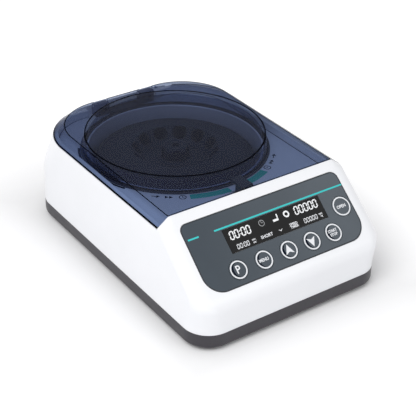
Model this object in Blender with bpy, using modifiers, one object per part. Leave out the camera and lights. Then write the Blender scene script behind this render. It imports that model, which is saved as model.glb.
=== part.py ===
"""A bench mini centrifuge with a tinted lid, a sloping control panel and a twelve place angle rotor.

Metres, +Z up. The front faces -Y and the hinges are at +Y. The origin is on the table, under the
middle of the body. The lid is closed, the rotor is at rest and no button is pressed.
"""
import math

import bmesh
import bpy
from mathutils import Matrix, Vector

# Driving dimensions of the body
BODY_WIDTH = 0.170
BODY_DEPTH = 0.248
FOOT_DROP = 0.0025
TRAY_HEIGHT = 0.012
HOUSING_HEIGHT = 0.0704
FRONT_CORNER = 0.021
REAR_CORNER = 0.028
LID_CORNER = 0.0527
SIDE_DRAFT = 0.0015
SHOULDER_REACH = 0.0091
SHOULDER_DROP = 0.0073
SHOULDER_BEND_SHARE = 0.15
REAR_REACH = 0.0074
FLAT_MARGIN = 0.0125
LEAST_CORNER = 0.0015
HOUSING_WALL = 0.0025

# The panel slope: where the button row crosses it, and its tilt
PANEL_TILT = math.radians(39.4)
ROW_BACK = 0.0150
ROW_RISE = 0.0370
LOWER_FILLET = 0.014
UPPER_FILLET = 0.006

# Clearances
GAP = 0.0003
LID_GAP = 0.0005
OVERRUN = 0.003

# Lid and its hinge
LID_FRONT_BACK = 0.0574
LID_REAR_MARGIN = 0.0055
LID_EDGE_DROP = 0.0071
LID_WALL = 0.0022
LID_CREASE_MARGIN = 0.0125
LEDGE_GAP = 0.0006
BOSS_RADIUS = 0.0720
BOSS_RISE = 0.0004
SKIRT_FLARE = 0.0016
HINGE_MARGIN = 0.0065
HINGE_DROP = 0.0049
HINGE_SIDE = 0.0220
HINGE_WIDTH = 0.0125
HINGE_ARM_WIDTH = 0.0063
KNUCKLE_RADIUS = 0.0022
PIN_RADIUS = 0.0010
SPINE_GAP = 0.0035

# Deck under the lid
DECK_DROP = 0.0134
DECK_THICKNESS = 0.0025
LEDGE_WIDTH = 0.0060
HINGE_BAY_HALF = 0.0330
HINGE_BAY_DEPTH = 0.0150

# Rotor chamber, on the spin axis
SPIN_MARGIN = 0.0879
BOWL_RADIUS = 0.0710
BOWL_WALL = 0.0017
BOWL_RIM_RISE = 0.0009
BOWL_FLOOR_RADIUS = 0.0570
BOWL_BEND = 0.0130
COLLAR_RADIUS = 0.0090
COLLAR_HEIGHT = 0.0050
GASKET_LIP = 0.0021
GASKET_FLANGE = 0.0022
GASKET_THICKNESS = 0.0008
GASKET_DEPTH = 0.0050
GASKET_RISE = 0.0004

# Rotor
TUBE_COUNT = 12
TUBE_ANGLE = math.radians(45)
TUBE_BORE = 0.0055
TUBE_DEPTH = 0.0340
MOUTH_RADIUS = 0.0306
MOUTH_DROP = 0.0177
ROTOR_RADIUS = 0.0640
ROTOR_EDGE_DROP = 0.0229
ROTOR_RIM_HEIGHT = 0.0150
ROTOR_BOTTOM_GAP = 0.0045
CRATER_FLOOR_RADIUS = 0.0240
CRATER_RIM_RADIUS = 0.0342
ROTOR_REST_ANGLE = math.radians(50)
HUB_RADIUS = 0.0120
HUB_SHORT = 0.0040
ROTOR_SKIN = 0.0035
NUT_RADIUS = 0.0115
NUT_HEIGHT = 0.0100
NUT_LOBES = 6
LOBE_RADIUS = 0.0040

# Motor and its mounting
SHAFT_RADIUS = 0.0030
MOTOR_RADIUS = 0.0280
MOTOR_HEIGHT = 0.0195
MOTOR_TUB = 0.0020
BEARING_RADIUS = 0.0075
BEARING_HEIGHT = 0.0050
PLATE_SIDE = 0.0900
PLATE_THICKNESS = 0.0020
PLATE_CORNER = 0.0080
DAMPER_RADIUS = 0.0055
DAMPER_HEIGHT = 0.0074
DAMPER_PITCH = 0.0760
SHAFT_CLEARANCE = 0.0030

# Base tray
TRAY_WALL = 0.0038
TRAY_FLOOR = 0.0022
TRAY_EDGE = 0.0030
LIP_HEIGHT = 0.0020
FOOT_RADIUS = 0.0070
FOOT_STEM = 0.0020
FOOT_SIDE_MARGIN = 0.0230
FOOT_END_MARGIN = 0.0260
VENT_COUNT = 7
VENT_LENGTH = 0.0440
VENT_WIDTH = 0.0025
VENT_PITCH = 0.0060
POST_RADIUS = 0.0048
POST_SIDE_MARGIN = 0.0110
POST_FRONT_MARGIN = 0.0680
POST_REAR_MARGIN = 0.0380
SCREW_RADIUS = 0.0014
SCREW_HEAD = 0.0030
SCREW_LENGTH = 0.0180
BOARD_THICKNESS = 0.0016
MAIN_BOARD_MARGIN = 0.0300
MAIN_BOARD_LENGTH = 0.056
MAIN_BOARD_RISE = 0.0070
MAIN_BOARD_FRONT = 0.0100
BOARD_POST_RADIUS = 0.0030
BOARD_INSET = 0.0050

# Control panel
PANEL_MARGIN = 0.0131
PANEL_TAPER = 0.0007
PANEL_BELOW_ROW = 0.0112
PANEL_ABOVE_ROW = 0.0444
PANEL_THICKNESS = 0.0012
PANEL_LOW_CORNER = 0.0150
PANEL_TOP_CORNER = 0.0060
DISPLAY_SIDE = 0.0029
DISPLAY_WIDTH = 0.0882
DISPLAY_HEIGHT = 0.0188
DISPLAY_RISE = 0.0215
DISPLAY_LEDGE = 0.0020
DISPLAY_DEPTH = 0.0035
CONTROL_BOARD_DEPTH = 0.0095
CONTROL_BOARD_MARGIN = 0.0170
CONTROL_BOARD_LENGTH = 0.046
CONTROL_BOARD_RISE = 0.0135
CONTROL_POST_INSET = 0.0040
BUTTON_RADIUS = 0.0074
OPEN_BUTTON_RADIUS = 0.0081
BUTTON_CAP = 0.0006
BUTTON_STEM = 0.0035
BUTTON_PROUD = 0.0002
BUTTON_TRAVEL = 0.0008
BUTTONS = {
    "button_program": (-0.0425, 0.0002, BUTTON_RADIUS),
    "button_menu": (-0.0199, 0.0002, BUTTON_RADIUS),
    "button_up": (0.0027, 0.0002, BUTTON_RADIUS),
    "button_down": (0.0241, 0.0002, BUTTON_RADIUS),
    "button_start_stop": (0.0445, 0.0002, BUTTON_RADIUS),
    "button_open": (0.0619, 0.0165, OPEN_BUTTON_RADIUS),
}

# Lid latch
HOOK_WIDTH = 0.0100
HOOK_LENGTH = 0.0160
HOOK_PLATE = 0.0022
HOOK_BACK = 0.0060
HOOK_SHANK = 0.0046
HOOK_DEPTH = 0.0080
HOOK_REACH = 0.0035
HOOK_NOSE = 0.0036
HOOK_DROP = 0.0221
SLOT_MARGIN = 0.0020
BOLT_HEIGHT = 0.0034
BOLT_DEPTH = 0.0060
BOLT_LENGTH = 0.0200
BOLT_TIP = 0.0020
SOLENOID_LENGTH = 0.0240
SOLENOID_WALL = 0.0032

# Rear ports
PORT_WIDTH = 0.0640
PORT_HEIGHT = 0.0240
PORT_DEPTH = 0.0042
PORT_RISE = 0.0200
PORT_WALL = 0.0020
SWITCH_SIDE = 0.0170
SWITCH_WIDTH = 0.0200
SWITCH_HEIGHT = 0.0170
SWITCH_BEZEL = 0.0012
SWITCH_WALL = 0.0018
SWITCH_BODY = 0.0120
ROCKER_TILT = math.radians(6)
ROCKER_RISE = 0.0018
JACK_SIDE = 0.0180
JACK_RADIUS = 0.0060
JACK_BORE = 0.0032
JACK_PIN = 0.0010
JACK_DEPTH = 0.0110

# Smoothness of round forms, in steps
ROUND_STEPS = 64
SMALL_STEPS = 24
TINY_STEPS = 12
REAR_STEPS = 9
FRONT_STEPS = 5
FILLET_STEPS = 4
SHOULDER_STEPS = 3

# Heights and places worked out from the dimensions above
FRONT_Y = -BODY_DEPTH / 2
SEAM_Z = FOOT_DROP + TRAY_HEIGHT
TOP_Z = SEAM_Z + HOUSING_HEIGHT
DECK_Z = TOP_Z - DECK_DROP
LID_EDGE_Z = TOP_Z - LID_EDGE_DROP
LEDGE_Z = LID_EDGE_Z - LEDGE_GAP
LID_FRONT_Y = FRONT_Y + LID_FRONT_BACK
LID_REAR_Y = BODY_DEPTH / 2 - LID_REAR_MARGIN
HINGE_Y = BODY_DEPTH / 2 - HINGE_MARGIN
HINGE_Z = TOP_Z - HINGE_DROP
SPIN_Y = BODY_DEPTH / 2 - SPIN_MARGIN
RIM_Z = DECK_Z + BOWL_RIM_RISE
GASKET_TOP = RIM_Z + GASKET_RISE
GASKET_INNER = BOWL_RADIUS + GAP
DECK_HOLE = GASKET_INNER + GASKET_LIP
TRAY_FLOOR_TOP = FOOT_DROP + TRAY_FLOOR
MOTOR_BASE = TRAY_FLOOR_TOP + MOTOR_TUB
MOTOR_TOP = MOTOR_BASE + MOTOR_HEIGHT
PLATE_Z = MOTOR_TOP + GAP
BOWL_BASE = PLATE_Z + PLATE_THICKNESS + GAP
BOWL_FLOOR = BOWL_BASE + BOWL_WALL
MOUTH_Z = TOP_Z - MOUTH_DROP
ROTOR_BASE = BOWL_FLOOR + ROTOR_BOTTOM_GAP
ROTOR_EDGE = TOP_Z - ROTOR_EDGE_DROP
CRATER_SLOPE = math.tan(math.pi / 2 - TUBE_ANGLE)
CRATER_RIM = MOUTH_Z + (CRATER_RIM_RADIUS - MOUTH_RADIUS) * CRATER_SLOPE
CRATER_FLOOR = MOUTH_Z - (MOUTH_RADIUS - CRATER_FLOOR_RADIUS) * CRATER_SLOPE
SPIN_AXIS = Vector((0, SPIN_Y, 0))
FLAT_HALF_WIDTH = BODY_WIDTH / 2 - FLAT_MARGIN
LID_CREASE_HALF = BODY_WIDTH / 2 - LID_CREASE_MARGIN
PANEL_HALF_WIDTH = BODY_WIDTH / 2 - PANEL_MARGIN
PANEL_TOP_HALF_WIDTH = PANEL_HALF_WIDTH - PANEL_TAPER
CONTROL_BOARD_WIDTH = BODY_WIDTH - CONTROL_BOARD_MARGIN * 2
MAIN_BOARD_WIDTH = BODY_WIDTH - MAIN_BOARD_MARGIN * 2
FOOT_SIDE = BODY_WIDTH / 2 - FOOT_SIDE_MARGIN
FOOT_FRONT = BODY_DEPTH / 2 - FOOT_END_MARGIN
POST_SIDE = BODY_WIDTH / 2 - POST_SIDE_MARGIN
POST_FRONT = BODY_DEPTH / 2 - POST_FRONT_MARGIN
POST_REAR = BODY_DEPTH / 2 - POST_REAR_MARGIN

parts = None
cutters = None


def clear_scene():
    """Empties the file, then makes the collections for the parts and for the cutters."""
    global parts, cutters
    for item in list(bpy.data.objects):
        bpy.data.objects.remove(item, do_unlink=True)
    parts = bpy.data.collections.new("mini_centrifuge")
    cutters = bpy.data.collections.new("cutters")
    bpy.context.scene.collection.children.link(parts)
    bpy.context.scene.collection.children.link(cutters)


def finish(name, color, roughness, metallic=0.0, alpha=1.0):
    """A plain material with the colour and gloss of one finish."""
    material = bpy.data.materials.get(name)
    if material is None:
        material = bpy.data.materials.new(name)
        material.use_nodes = True
        surface = material.node_tree.nodes["Principled BSDF"]
        surface.inputs["Base Color"].default_value = (*color, 1.0)
        surface.inputs["Roughness"].default_value = roughness
        surface.inputs["Metallic"].default_value = metallic
        surface.inputs["Alpha"].default_value = alpha
    return material


def white_plastic():
    return finish("white_plastic", (0.86, 0.87, 0.90), 0.25)


def grey_plastic():
    return finish("grey_plastic", (0.09, 0.09, 0.10), 0.45)


def slate_film():
    return finish("slate_film", (0.10, 0.12, 0.14), 0.40)


def tinted_clear():
    return finish("tinted_clear", (0.10, 0.12, 0.22), 0.08, alpha=0.55)


def black_rubber():
    return finish("black_rubber", (0.02, 0.02, 0.02), 0.80)


def black_plastic():
    return finish("black_plastic", (0.03, 0.03, 0.04), 0.35)


def bare_steel():
    return finish("bare_steel", (0.60, 0.61, 0.63), 0.30, metallic=1.0)


def green_board():
    return finish("green_board", (0.02, 0.16, 0.08), 0.50)


def add_mesh(name, mesh, material=None, matrix=None):
    """Links a mesh as a part, or as a cutter where it has no material."""
    item = bpy.data.objects.new(name, mesh)
    if matrix is not None:
        item.matrix_world = matrix
    if material is None:
        cutters.objects.link(item)
        item.hide_render = True
        item.display_type = "WIRE"
    else:
        parts.objects.link(item)
        mesh.materials.append(material)
    return item


def soften(item, degrees=40):
    """Smooth shading that keeps the sharp edges."""
    item.data.shade_smooth()
    item.data.set_sharp_from_angle(angle=math.radians(degrees))
    return item


def box(name, low, high, material=None, matrix=None):
    """A block between two corners."""
    low, high = Vector(low), Vector(high)
    mesh = bpy.data.meshes.new(name)
    shape = bmesh.new()
    bmesh.ops.create_cube(shape, size=1.0)
    size = Matrix.Diagonal((*(high - low), 1.0))
    bmesh.ops.transform(shape, matrix=Matrix.Translation((low + high) / 2) @ size, verts=shape.verts)
    shape.to_mesh(mesh)
    shape.free()
    return add_mesh(name, mesh, material, matrix)


def cylinder(name, radius, low, high, material=None, matrix=None, steps=SMALL_STEPS, end_radius=None):
    """A round bar or cone along the local Z axis, from low to high."""
    mesh = bpy.data.meshes.new(name)
    shape = bmesh.new()
    bmesh.ops.create_cone(
        shape,
        cap_ends=True,
        segments=steps,
        radius1=radius,
        radius2=radius if end_radius is None else end_radius,
        depth=high - low,
        matrix=Matrix.Translation((0, 0, (low + high) / 2)),
    )
    shape.to_mesh(mesh)
    shape.free()
    return soften(add_mesh(name, mesh, material, matrix))


def loft(name, rings, material=None):
    """A closed solid through rings of as many points each, from the lowest to the highest."""
    mesh = bpy.data.meshes.new(name)
    shape = bmesh.new()
    rows = [[shape.verts.new(point) for point in ring] for ring in rings]
    count = len(rows[0])
    for lower, upper in zip(rows, rows[1:]):
        for step in range(count):
            after = (step + 1) % count
            shape.faces.new((lower[step], lower[after], upper[after], upper[step]))
    shape.faces.new(list(reversed(rows[0])))
    shape.faces.new(rows[-1])
    shape.to_mesh(mesh)
    shape.free()
    return soften(add_mesh(name, mesh, material))


def turned(name, profile, material=None, centre=SPIN_AXIS, steps=ROUND_STEPS):
    """A turned piece: profile is (radius, height) down the outer side, closed unless it meets the axis."""
    mesh = bpy.data.meshes.new(name)
    shape = bmesh.new()
    verts = [shape.verts.new((radius, 0, height)) for radius, height in profile]
    for upper, lower in zip(verts, verts[1:]):
        shape.edges.new((upper, lower))
    if profile[0][0] > 0:
        shape.edges.new((verts[-1], verts[0]))
    shape.to_mesh(mesh)
    shape.free()
    item = add_mesh(name, mesh, material, Matrix.Translation(centre))
    screw = item.modifiers.new("turn", "SCREW")
    screw.steps = steps
    screw.render_steps = steps
    screw.use_merge_vertices = True
    screw.merge_threshold = GAP / 10
    screw.use_smooth_shade = True
    return item


def rounded(corners, steps=FILLET_STEPS):
    """An outline through corners (x, y, radius), given anticlockwise, with each corner an arc."""
    outline = []
    for index, (x, y, radius) in enumerate(corners):
        corner = Vector((x, y))
        before = (Vector(corners[index - 1][:2]) - corner).normalized()
        after = (Vector(corners[(index + 1) % len(corners)][:2]) - corner).normalized()
        half = before.angle(after) / 2
        middle = corner + (before + after).normalized() * radius / math.sin(half)
        start = corner + before * radius / math.tan(half) - middle
        turn = math.pi - 2 * half
        for step in range(steps + 1):
            outline.append(middle + Matrix.Rotation(turn * step / steps, 2) @ start)
    return outline


def plate(name, outline, low, high, material=None, matrix=None):
    """A flat plate: a filled outline in the local XY plane, thick from low to high along Z."""
    curve = bpy.data.curves.new(name, "CURVE")
    curve.dimensions = "2D"
    curve.fill_mode = "BOTH"
    curve.extrude = (high - low) / 2
    spline = curve.splines.new("POLY")
    spline.points.add(len(outline) - 1)
    for point, place in zip(spline.points, outline):
        point.co = (place[0], place[1], 0, 1)
    spline.use_cyclic_u = True
    drawn = bpy.data.objects.new(name + "_outline", curve)
    bpy.context.scene.collection.objects.link(drawn)
    seen = drawn.evaluated_get(bpy.context.evaluated_depsgraph_get())
    mesh = bpy.data.meshes.new_from_object(seen)
    bpy.data.objects.remove(drawn, do_unlink=True)
    mesh.transform(Matrix.Translation((0, 0, (low + high) / 2)))
    weld(mesh)
    return add_mesh(name, mesh, material, matrix)


def weld(mesh):
    """Joins the loose caps of a mesh that was a curve."""
    shape = bmesh.new()
    shape.from_mesh(mesh)
    bmesh.ops.remove_doubles(shape, verts=shape.verts, dist=GAP / 10)
    bmesh.ops.recalc_face_normals(shape, faces=shape.faces)
    shape.to_mesh(mesh)
    shape.free()


def combine(item, other, operation="DIFFERENCE"):
    """Cuts or joins with another mesh."""
    step = item.modifiers.new(operation.lower(), "BOOLEAN")
    step.operation = operation
    step.solver = "EXACT"
    step.object = other
    return item


def union(item, other):
    return combine(item, other, "UNION")


def smooth_step(share):
    """0 to 1 with level ends."""
    share = min(max(share, 0.0), 1.0)
    return share * share * (3 - 2 * share)


def blend(first, second, share):
    return first + (second - first) * share


def arc(centre_y, centre_z, radius, start, end, steps=FILLET_STEPS):
    """Points (y, z) on an arc, with angles from +Y towards +Z."""
    angles = [blend(start, end, step / steps) for step in range(steps + 1)]
    return [(centre_y + radius * math.cos(a), centre_z + radius * math.sin(a)) for a in angles]


def front_profile(inset):
    """The body's front in side view as (y, z): upright wall, fillet, panel slope, fillet, flat top."""
    wall = FRONT_Y + inset
    top = TOP_Z - inset
    run, rise = math.cos(PANEL_TILT), math.sin(PANEL_TILT)
    slope_y = FRONT_Y + ROW_BACK + rise * inset
    slope_z = SEAM_Z + ROW_RISE - run * inset
    low_z = slope_z - (slope_y - wall) * rise / run
    high_y = slope_y + (top - slope_z) * run / rise
    low_radius = LOWER_FILLET - inset
    high_radius = UPPER_FILLET - inset
    low_reach = low_radius * math.tan((math.pi / 2 - PANEL_TILT) / 2)
    high_reach = high_radius * math.tan(PANEL_TILT / 2)
    low = arc(wall + low_radius, low_z - low_reach, low_radius, math.pi, math.pi / 2 + PANEL_TILT)
    high = arc(high_y + high_reach, top - high_radius, high_radius, math.pi / 2 + PANEL_TILT, math.pi / 2)
    return low + high


def front_at(profile, height):
    """How far back the front stands at one height."""
    if height <= profile[0][1]:
        return profile[0][0]
    for (low_y, low_z), (high_y, high_z) in zip(profile, profile[1:]):
        if low_z <= height <= high_z and high_z > low_z:
            return blend(low_y, high_y, (height - low_z) / (high_z - low_z))
    return profile[-1][0]


def shoulder(height, inset=0.0):
    """How far the chamfered shoulder has run in, as a share: a short bend, then a straight slope."""
    start = TOP_Z - inset - SHOULDER_DROP
    share = min(max((height - start) / SHOULDER_DROP, 0.0), 1.0)
    bend = SHOULDER_BEND_SHARE
    run = share * share / (2 * bend) if share < bend else share - bend / 2
    return run / (1 - bend / 2)


def half_width(height, inset=0.0):
    draft = SIDE_DRAFT * (height - SEAM_Z) / HOUSING_HEIGHT
    return BODY_WIDTH / 2 - inset - draft - SHOULDER_REACH * shoulder(height, inset)


def rear_at(height, inset=0.0):
    draft = SIDE_DRAFT * (height - SEAM_Z) / HOUSING_HEIGHT
    return BODY_DEPTH / 2 - inset - draft - REAR_REACH * shoulder(height, inset)


CORNER_GROWTH_SHARE = 0.4


def rear_corner(height, inset=0.0):
    """The rear corners open from the seam's radius to the lid's, from part way up."""
    rise = (height - SEAM_Z) / HOUSING_HEIGHT
    growth = smooth_step((rise - CORNER_GROWTH_SHARE) / (1 - CORNER_GROWTH_SHARE))
    return blend(REAR_CORNER, LID_CORNER, growth) - inset - SHOULDER_REACH * shoulder(height, inset)


def front_corner(height, inset=0.0):
    """The front corners tighten from the seam to the panel, whose face stays flat across its width."""
    panel_foot = SEAM_Z + ROW_RISE
    upper = half_width(height, inset) - FLAT_HALF_WIDTH + inset
    radius = blend(FRONT_CORNER, upper, smooth_step((height - SEAM_Z) / (panel_foot - SEAM_Z)))
    return max(radius - inset, LEAST_CORNER)


def corner_arc(centre_x, centre_y, radius, quarter, steps, height):
    """A quarter circle of one level's outline."""
    points = []
    for step in range(steps + 1):
        angle = math.pi / 2 * (quarter + step / steps)
        points.append((centre_x + radius * math.cos(angle), centre_y + radius * math.sin(angle), height))
    return points


def ring(height, width, front, rear, front_radius, rear_radius):
    """One level's outline, anticlockwise from the right rear corner."""
    rear_x, rear_y = width - rear_radius, rear - rear_radius
    front_x, front_y = width - front_radius, front + front_radius
    return (
        corner_arc(rear_x, rear_y, rear_radius, 0, REAR_STEPS, height)
        + corner_arc(-rear_x, rear_y, rear_radius, 1, REAR_STEPS, height)
        + corner_arc(-front_x, front_y, front_radius, 2, FRONT_STEPS, height)
        + corner_arc(front_x, front_y, front_radius, 3, FRONT_STEPS, height)
    )


def spread(low, high, steps):
    return [blend(low, high, step / steps) for step in range(steps + 1)]


def shoulder_levels(low, high):
    """Levels that follow the shoulder's bend, then its straight slope."""
    bend = blend(low, high, SHOULDER_BEND_SHARE)
    return spread(low, bend, SHOULDER_STEPS) + [high]


def thin_out(levels, kept, least):
    """Sorted levels without those that lie too near a kept one or each other."""
    result = sorted(kept)
    for level in sorted(levels):
        if all(abs(level - other) > least for other in result):
            result.append(level)
    return sorted(result)


def body_form(name, inset, bottom, material=None):
    """The moulded outer form of the body, or the same form drawn in by a wall."""
    top = TOP_Z - inset
    profile = front_profile(inset)
    kept = [bottom] + [point[1] for point in profile]
    kept[-1] = top
    levels = spread(bottom, top - SHOULDER_DROP, FILLET_STEPS + 1)
    levels += shoulder_levels(top - SHOULDER_DROP, top)
    rings = []
    for height in thin_out(levels, kept, LID_WALL / 2):
        rings.append(ring(
            height,
            half_width(height, inset),
            front_at(profile, height),
            rear_at(height, inset),
            front_corner(height, inset),
            rear_corner(height, inset),
        ))
    return loft(name, rings, material)


def panel_frame():
    """Turns panel coordinates (across, up the slope, out of it) into the body's."""
    origin = Vector((0, FRONT_Y + ROW_BACK, SEAM_Z + ROW_RISE))
    return Matrix.Translation(origin) @ Matrix.Rotation(PANEL_TILT, 4, "X")


def panel_outline(margin=0.0):
    """The overlay's outline, grown by a margin."""
    low, high = -PANEL_BELOW_ROW - margin, PANEL_ABOVE_ROW + margin
    wide, narrow = PANEL_HALF_WIDTH + margin, PANEL_TOP_HALF_WIDTH + margin
    low_corner, top_corner = PANEL_LOW_CORNER + margin, PANEL_TOP_CORNER + margin
    return rounded((
        (-wide, low, low_corner),
        (wide, low, low_corner),
        (narrow, high, top_corner),
        (-narrow, high, top_corner),
    ), FILLET_STEPS + 2)


def display_box(name, margin, low, high, material=None):
    """A block on the display's place in the panel."""
    wide, tall = DISPLAY_WIDTH / 2 + margin, DISPLAY_HEIGHT / 2 + margin
    return box(
        name,
        (DISPLAY_SIDE - wide, DISPLAY_RISE - tall, low),
        (DISPLAY_SIDE + wide, DISPLAY_RISE + tall, high),
        material,
        panel_frame(),
    )


def button_frame(place):
    return panel_frame() @ Matrix.Translation((place[0], place[1], 0))


def control_posts():
    """Places of the control board's four posts, in panel coordinates."""
    across = CONTROL_BOARD_WIDTH / 2 - CONTROL_POST_INSET
    along = CONTROL_BOARD_LENGTH / 2 - CONTROL_POST_INSET
    return [(x, CONTROL_BOARD_RISE + s) for x in (-across, across) for s in (-along, along)]


def body_posts():
    """Places of the four posts that screw the housing to the tray."""
    return [(x, y) for x in (-POST_SIDE, POST_SIDE) for y in (-POST_FRONT, POST_REAR)]


def upper_housing():
    """The white upper shell, with the deck and the seats for the lid, the panel and the rear ports."""
    housing = body_form("upper_housing", 0.0, SEAM_Z + GAP, white_plastic())
    hollow = body_form("housing_hollow", HOUSING_WALL, SEAM_Z - OVERRUN)
    deck_front = LID_FRONT_Y - LID_GAP - HOUSING_WALL
    deck = box(
        "housing_deck_block",
        (-BODY_WIDTH, deck_front, DECK_Z - DECK_THICKNESS),
        (BODY_WIDTH, BODY_DEPTH, TOP_Z + OVERRUN),
    )
    combine(housing, combine(hollow, deck))
    cut_lid_seat(housing)
    cut_panel_seat(housing)
    cut_rear_ports(housing)
    add_housing_posts(housing)
    return housing


def cut_lid_seat(housing):
    """The ledge for the lid's edge, the sunk deck, the rotor's opening, the latch slot, the hinge bay."""
    front = LID_FRONT_Y - LID_GAP
    spine = HINGE_Y + SPINE_GAP
    combine(housing, box(
        "lid_seat", (-BODY_WIDTH, front, LEDGE_Z), (BODY_WIDTH, spine, TOP_Z + OVERRUN)))
    sunk = []
    for height in (DECK_Z, TOP_Z + OVERRUN):
        sunk.append(ring(
            height,
            half_width(DECK_Z) - LEDGE_WIDTH,
            front,
            rear_at(DECK_Z) - LEDGE_WIDTH,
            LEAST_CORNER,
            rear_corner(DECK_Z) - LEDGE_WIDTH,
        ))
    combine(housing, loft("deck_pocket", sunk))
    combine(housing, box(
        "hinge_bay",
        (-HINGE_BAY_HALF, spine - HINGE_BAY_DEPTH, DECK_Z),
        (HINGE_BAY_HALF, spine, TOP_Z + OVERRUN),
    ))
    combine(housing, cylinder(
        "rotor_opening", DECK_HOLE, DECK_Z - DECK_THICKNESS - OVERRUN, DECK_Z + OVERRUN,
        matrix=Matrix.Translation(SPIN_AXIS), steps=ROUND_STEPS))
    hook_y = hook_front() + HOOK_LENGTH / 2
    combine(housing, box(
        "latch_slot",
        (-HOOK_SHANK / 2 - SLOT_MARGIN, hook_y - HOOK_DEPTH / 2 - SLOT_MARGIN, DECK_Z - OVERRUN - OVERRUN),
        (HOOK_SHANK / 2 + HOOK_REACH + SLOT_MARGIN, hook_y + HOOK_DEPTH / 2 + SLOT_MARGIN, TOP_Z),
    ))


def cut_panel_seat(housing):
    """The overlay's recess, the display's window and the button holes."""
    seat = plate(
        "panel_seat", panel_outline(GAP), -PANEL_THICKNESS - GAP, OVERRUN, matrix=panel_frame())
    combine(housing, seat)
    combine(housing, display_box("display_hole", -DISPLAY_LEDGE, -HOUSING_WALL * 2, OVERRUN))
    for name, place in BUTTONS.items():
        combine(housing, cylinder(
            name + "_hole", BUTTON_STEM + GAP, -HOUSING_WALL * 2, OVERRUN, matrix=button_frame(place)))


def port_z():
    return SEAM_Z + PORT_RISE


def cut_rear_ports(housing):
    """The recess at the rear for the switch and the supply socket, with its backing."""
    rear = BODY_DEPTH / 2
    wide, tall = PORT_WIDTH / 2, PORT_HEIGHT / 2
    floor = rear - PORT_DEPTH
    union(housing, box(
        "port_backing",
        (-wide - PORT_WALL, floor - PORT_WALL, port_z() - tall - PORT_WALL),
        (wide + PORT_WALL, rear - HOUSING_WALL / 2, port_z() + tall + PORT_WALL),
    ))
    combine(housing, box(
        "port_recess", (-wide, floor, port_z() - tall), (wide, rear + OVERRUN, port_z() + tall)))
    body_wide = SWITCH_WIDTH / 2 - SWITCH_WALL + GAP
    body_tall = SWITCH_HEIGHT / 2 - SWITCH_WALL / 2 + GAP
    combine(housing, box(
        "switch_hole",
        (-SWITCH_SIDE - body_wide, floor - PORT_WALL - OVERRUN, port_z() - body_tall),
        (-SWITCH_SIDE + body_wide, floor + OVERRUN, port_z() + body_tall),
    ))
    combine(housing, cylinder(
        "jack_hole", JACK_RADIUS + GAP, -OVERRUN, PORT_WALL + OVERRUN, matrix=rear_frame(JACK_SIDE, floor)))


def rear_frame(side, depth):
    """Z points into the body from the rear, at one place across."""
    return Matrix.Translation((side, depth, port_z())) @ Matrix.Rotation(math.pi / 2, 4, "X")


def add_housing_posts(housing):
    """Posts under the panel for its board, and posts at the sides for the tray's screws."""
    for index, (x, s) in enumerate(control_posts()):
        place = panel_frame() @ Matrix.Translation((x, s, 0))
        union(housing, cylinder(
            f"control_post_{index}", BOARD_POST_RADIUS, -CONTROL_BOARD_DEPTH + GAP,
            -(HOUSING_WALL + PANEL_THICKNESS + GAP) / 2, matrix=place, steps=TINY_STEPS))
    post_foot = SEAM_Z + LIP_HEIGHT + GAP
    for index, (x, y) in enumerate(body_posts()):
        place = Matrix.Translation((x, y, 0))
        union(housing, cylinder(
            f"body_post_{index}", POST_RADIUS, post_foot, DECK_Z - DECK_THICKNESS / 2,
            matrix=place, steps=TINY_STEPS))
        combine(housing, cylinder(
            f"body_post_bore_{index}", SCREW_RADIUS + GAP, post_foot - OVERRUN,
            FOOT_DROP + SCREW_LENGTH + OVERRUN, matrix=place, steps=TINY_STEPS))


def tray_ring(height, inset):
    return ring(
        height,
        BODY_WIDTH / 2 - inset,
        FRONT_Y + inset,
        BODY_DEPTH / 2 - inset,
        FRONT_CORNER - inset,
        REAR_CORNER - inset,
    )


def tray_rounding():
    """Rings round the tray's lower edge as (height, inset)."""
    rows = []
    for step in range(FILLET_STEPS + 1):
        angle = math.pi / 2 * step / FILLET_STEPS
        rows.append((
            FOOT_DROP + TRAY_EDGE * (1 - math.sin(angle)),
            TRAY_EDGE * (1 - math.cos(angle)),
        ))
    return list(reversed(rows))


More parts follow.
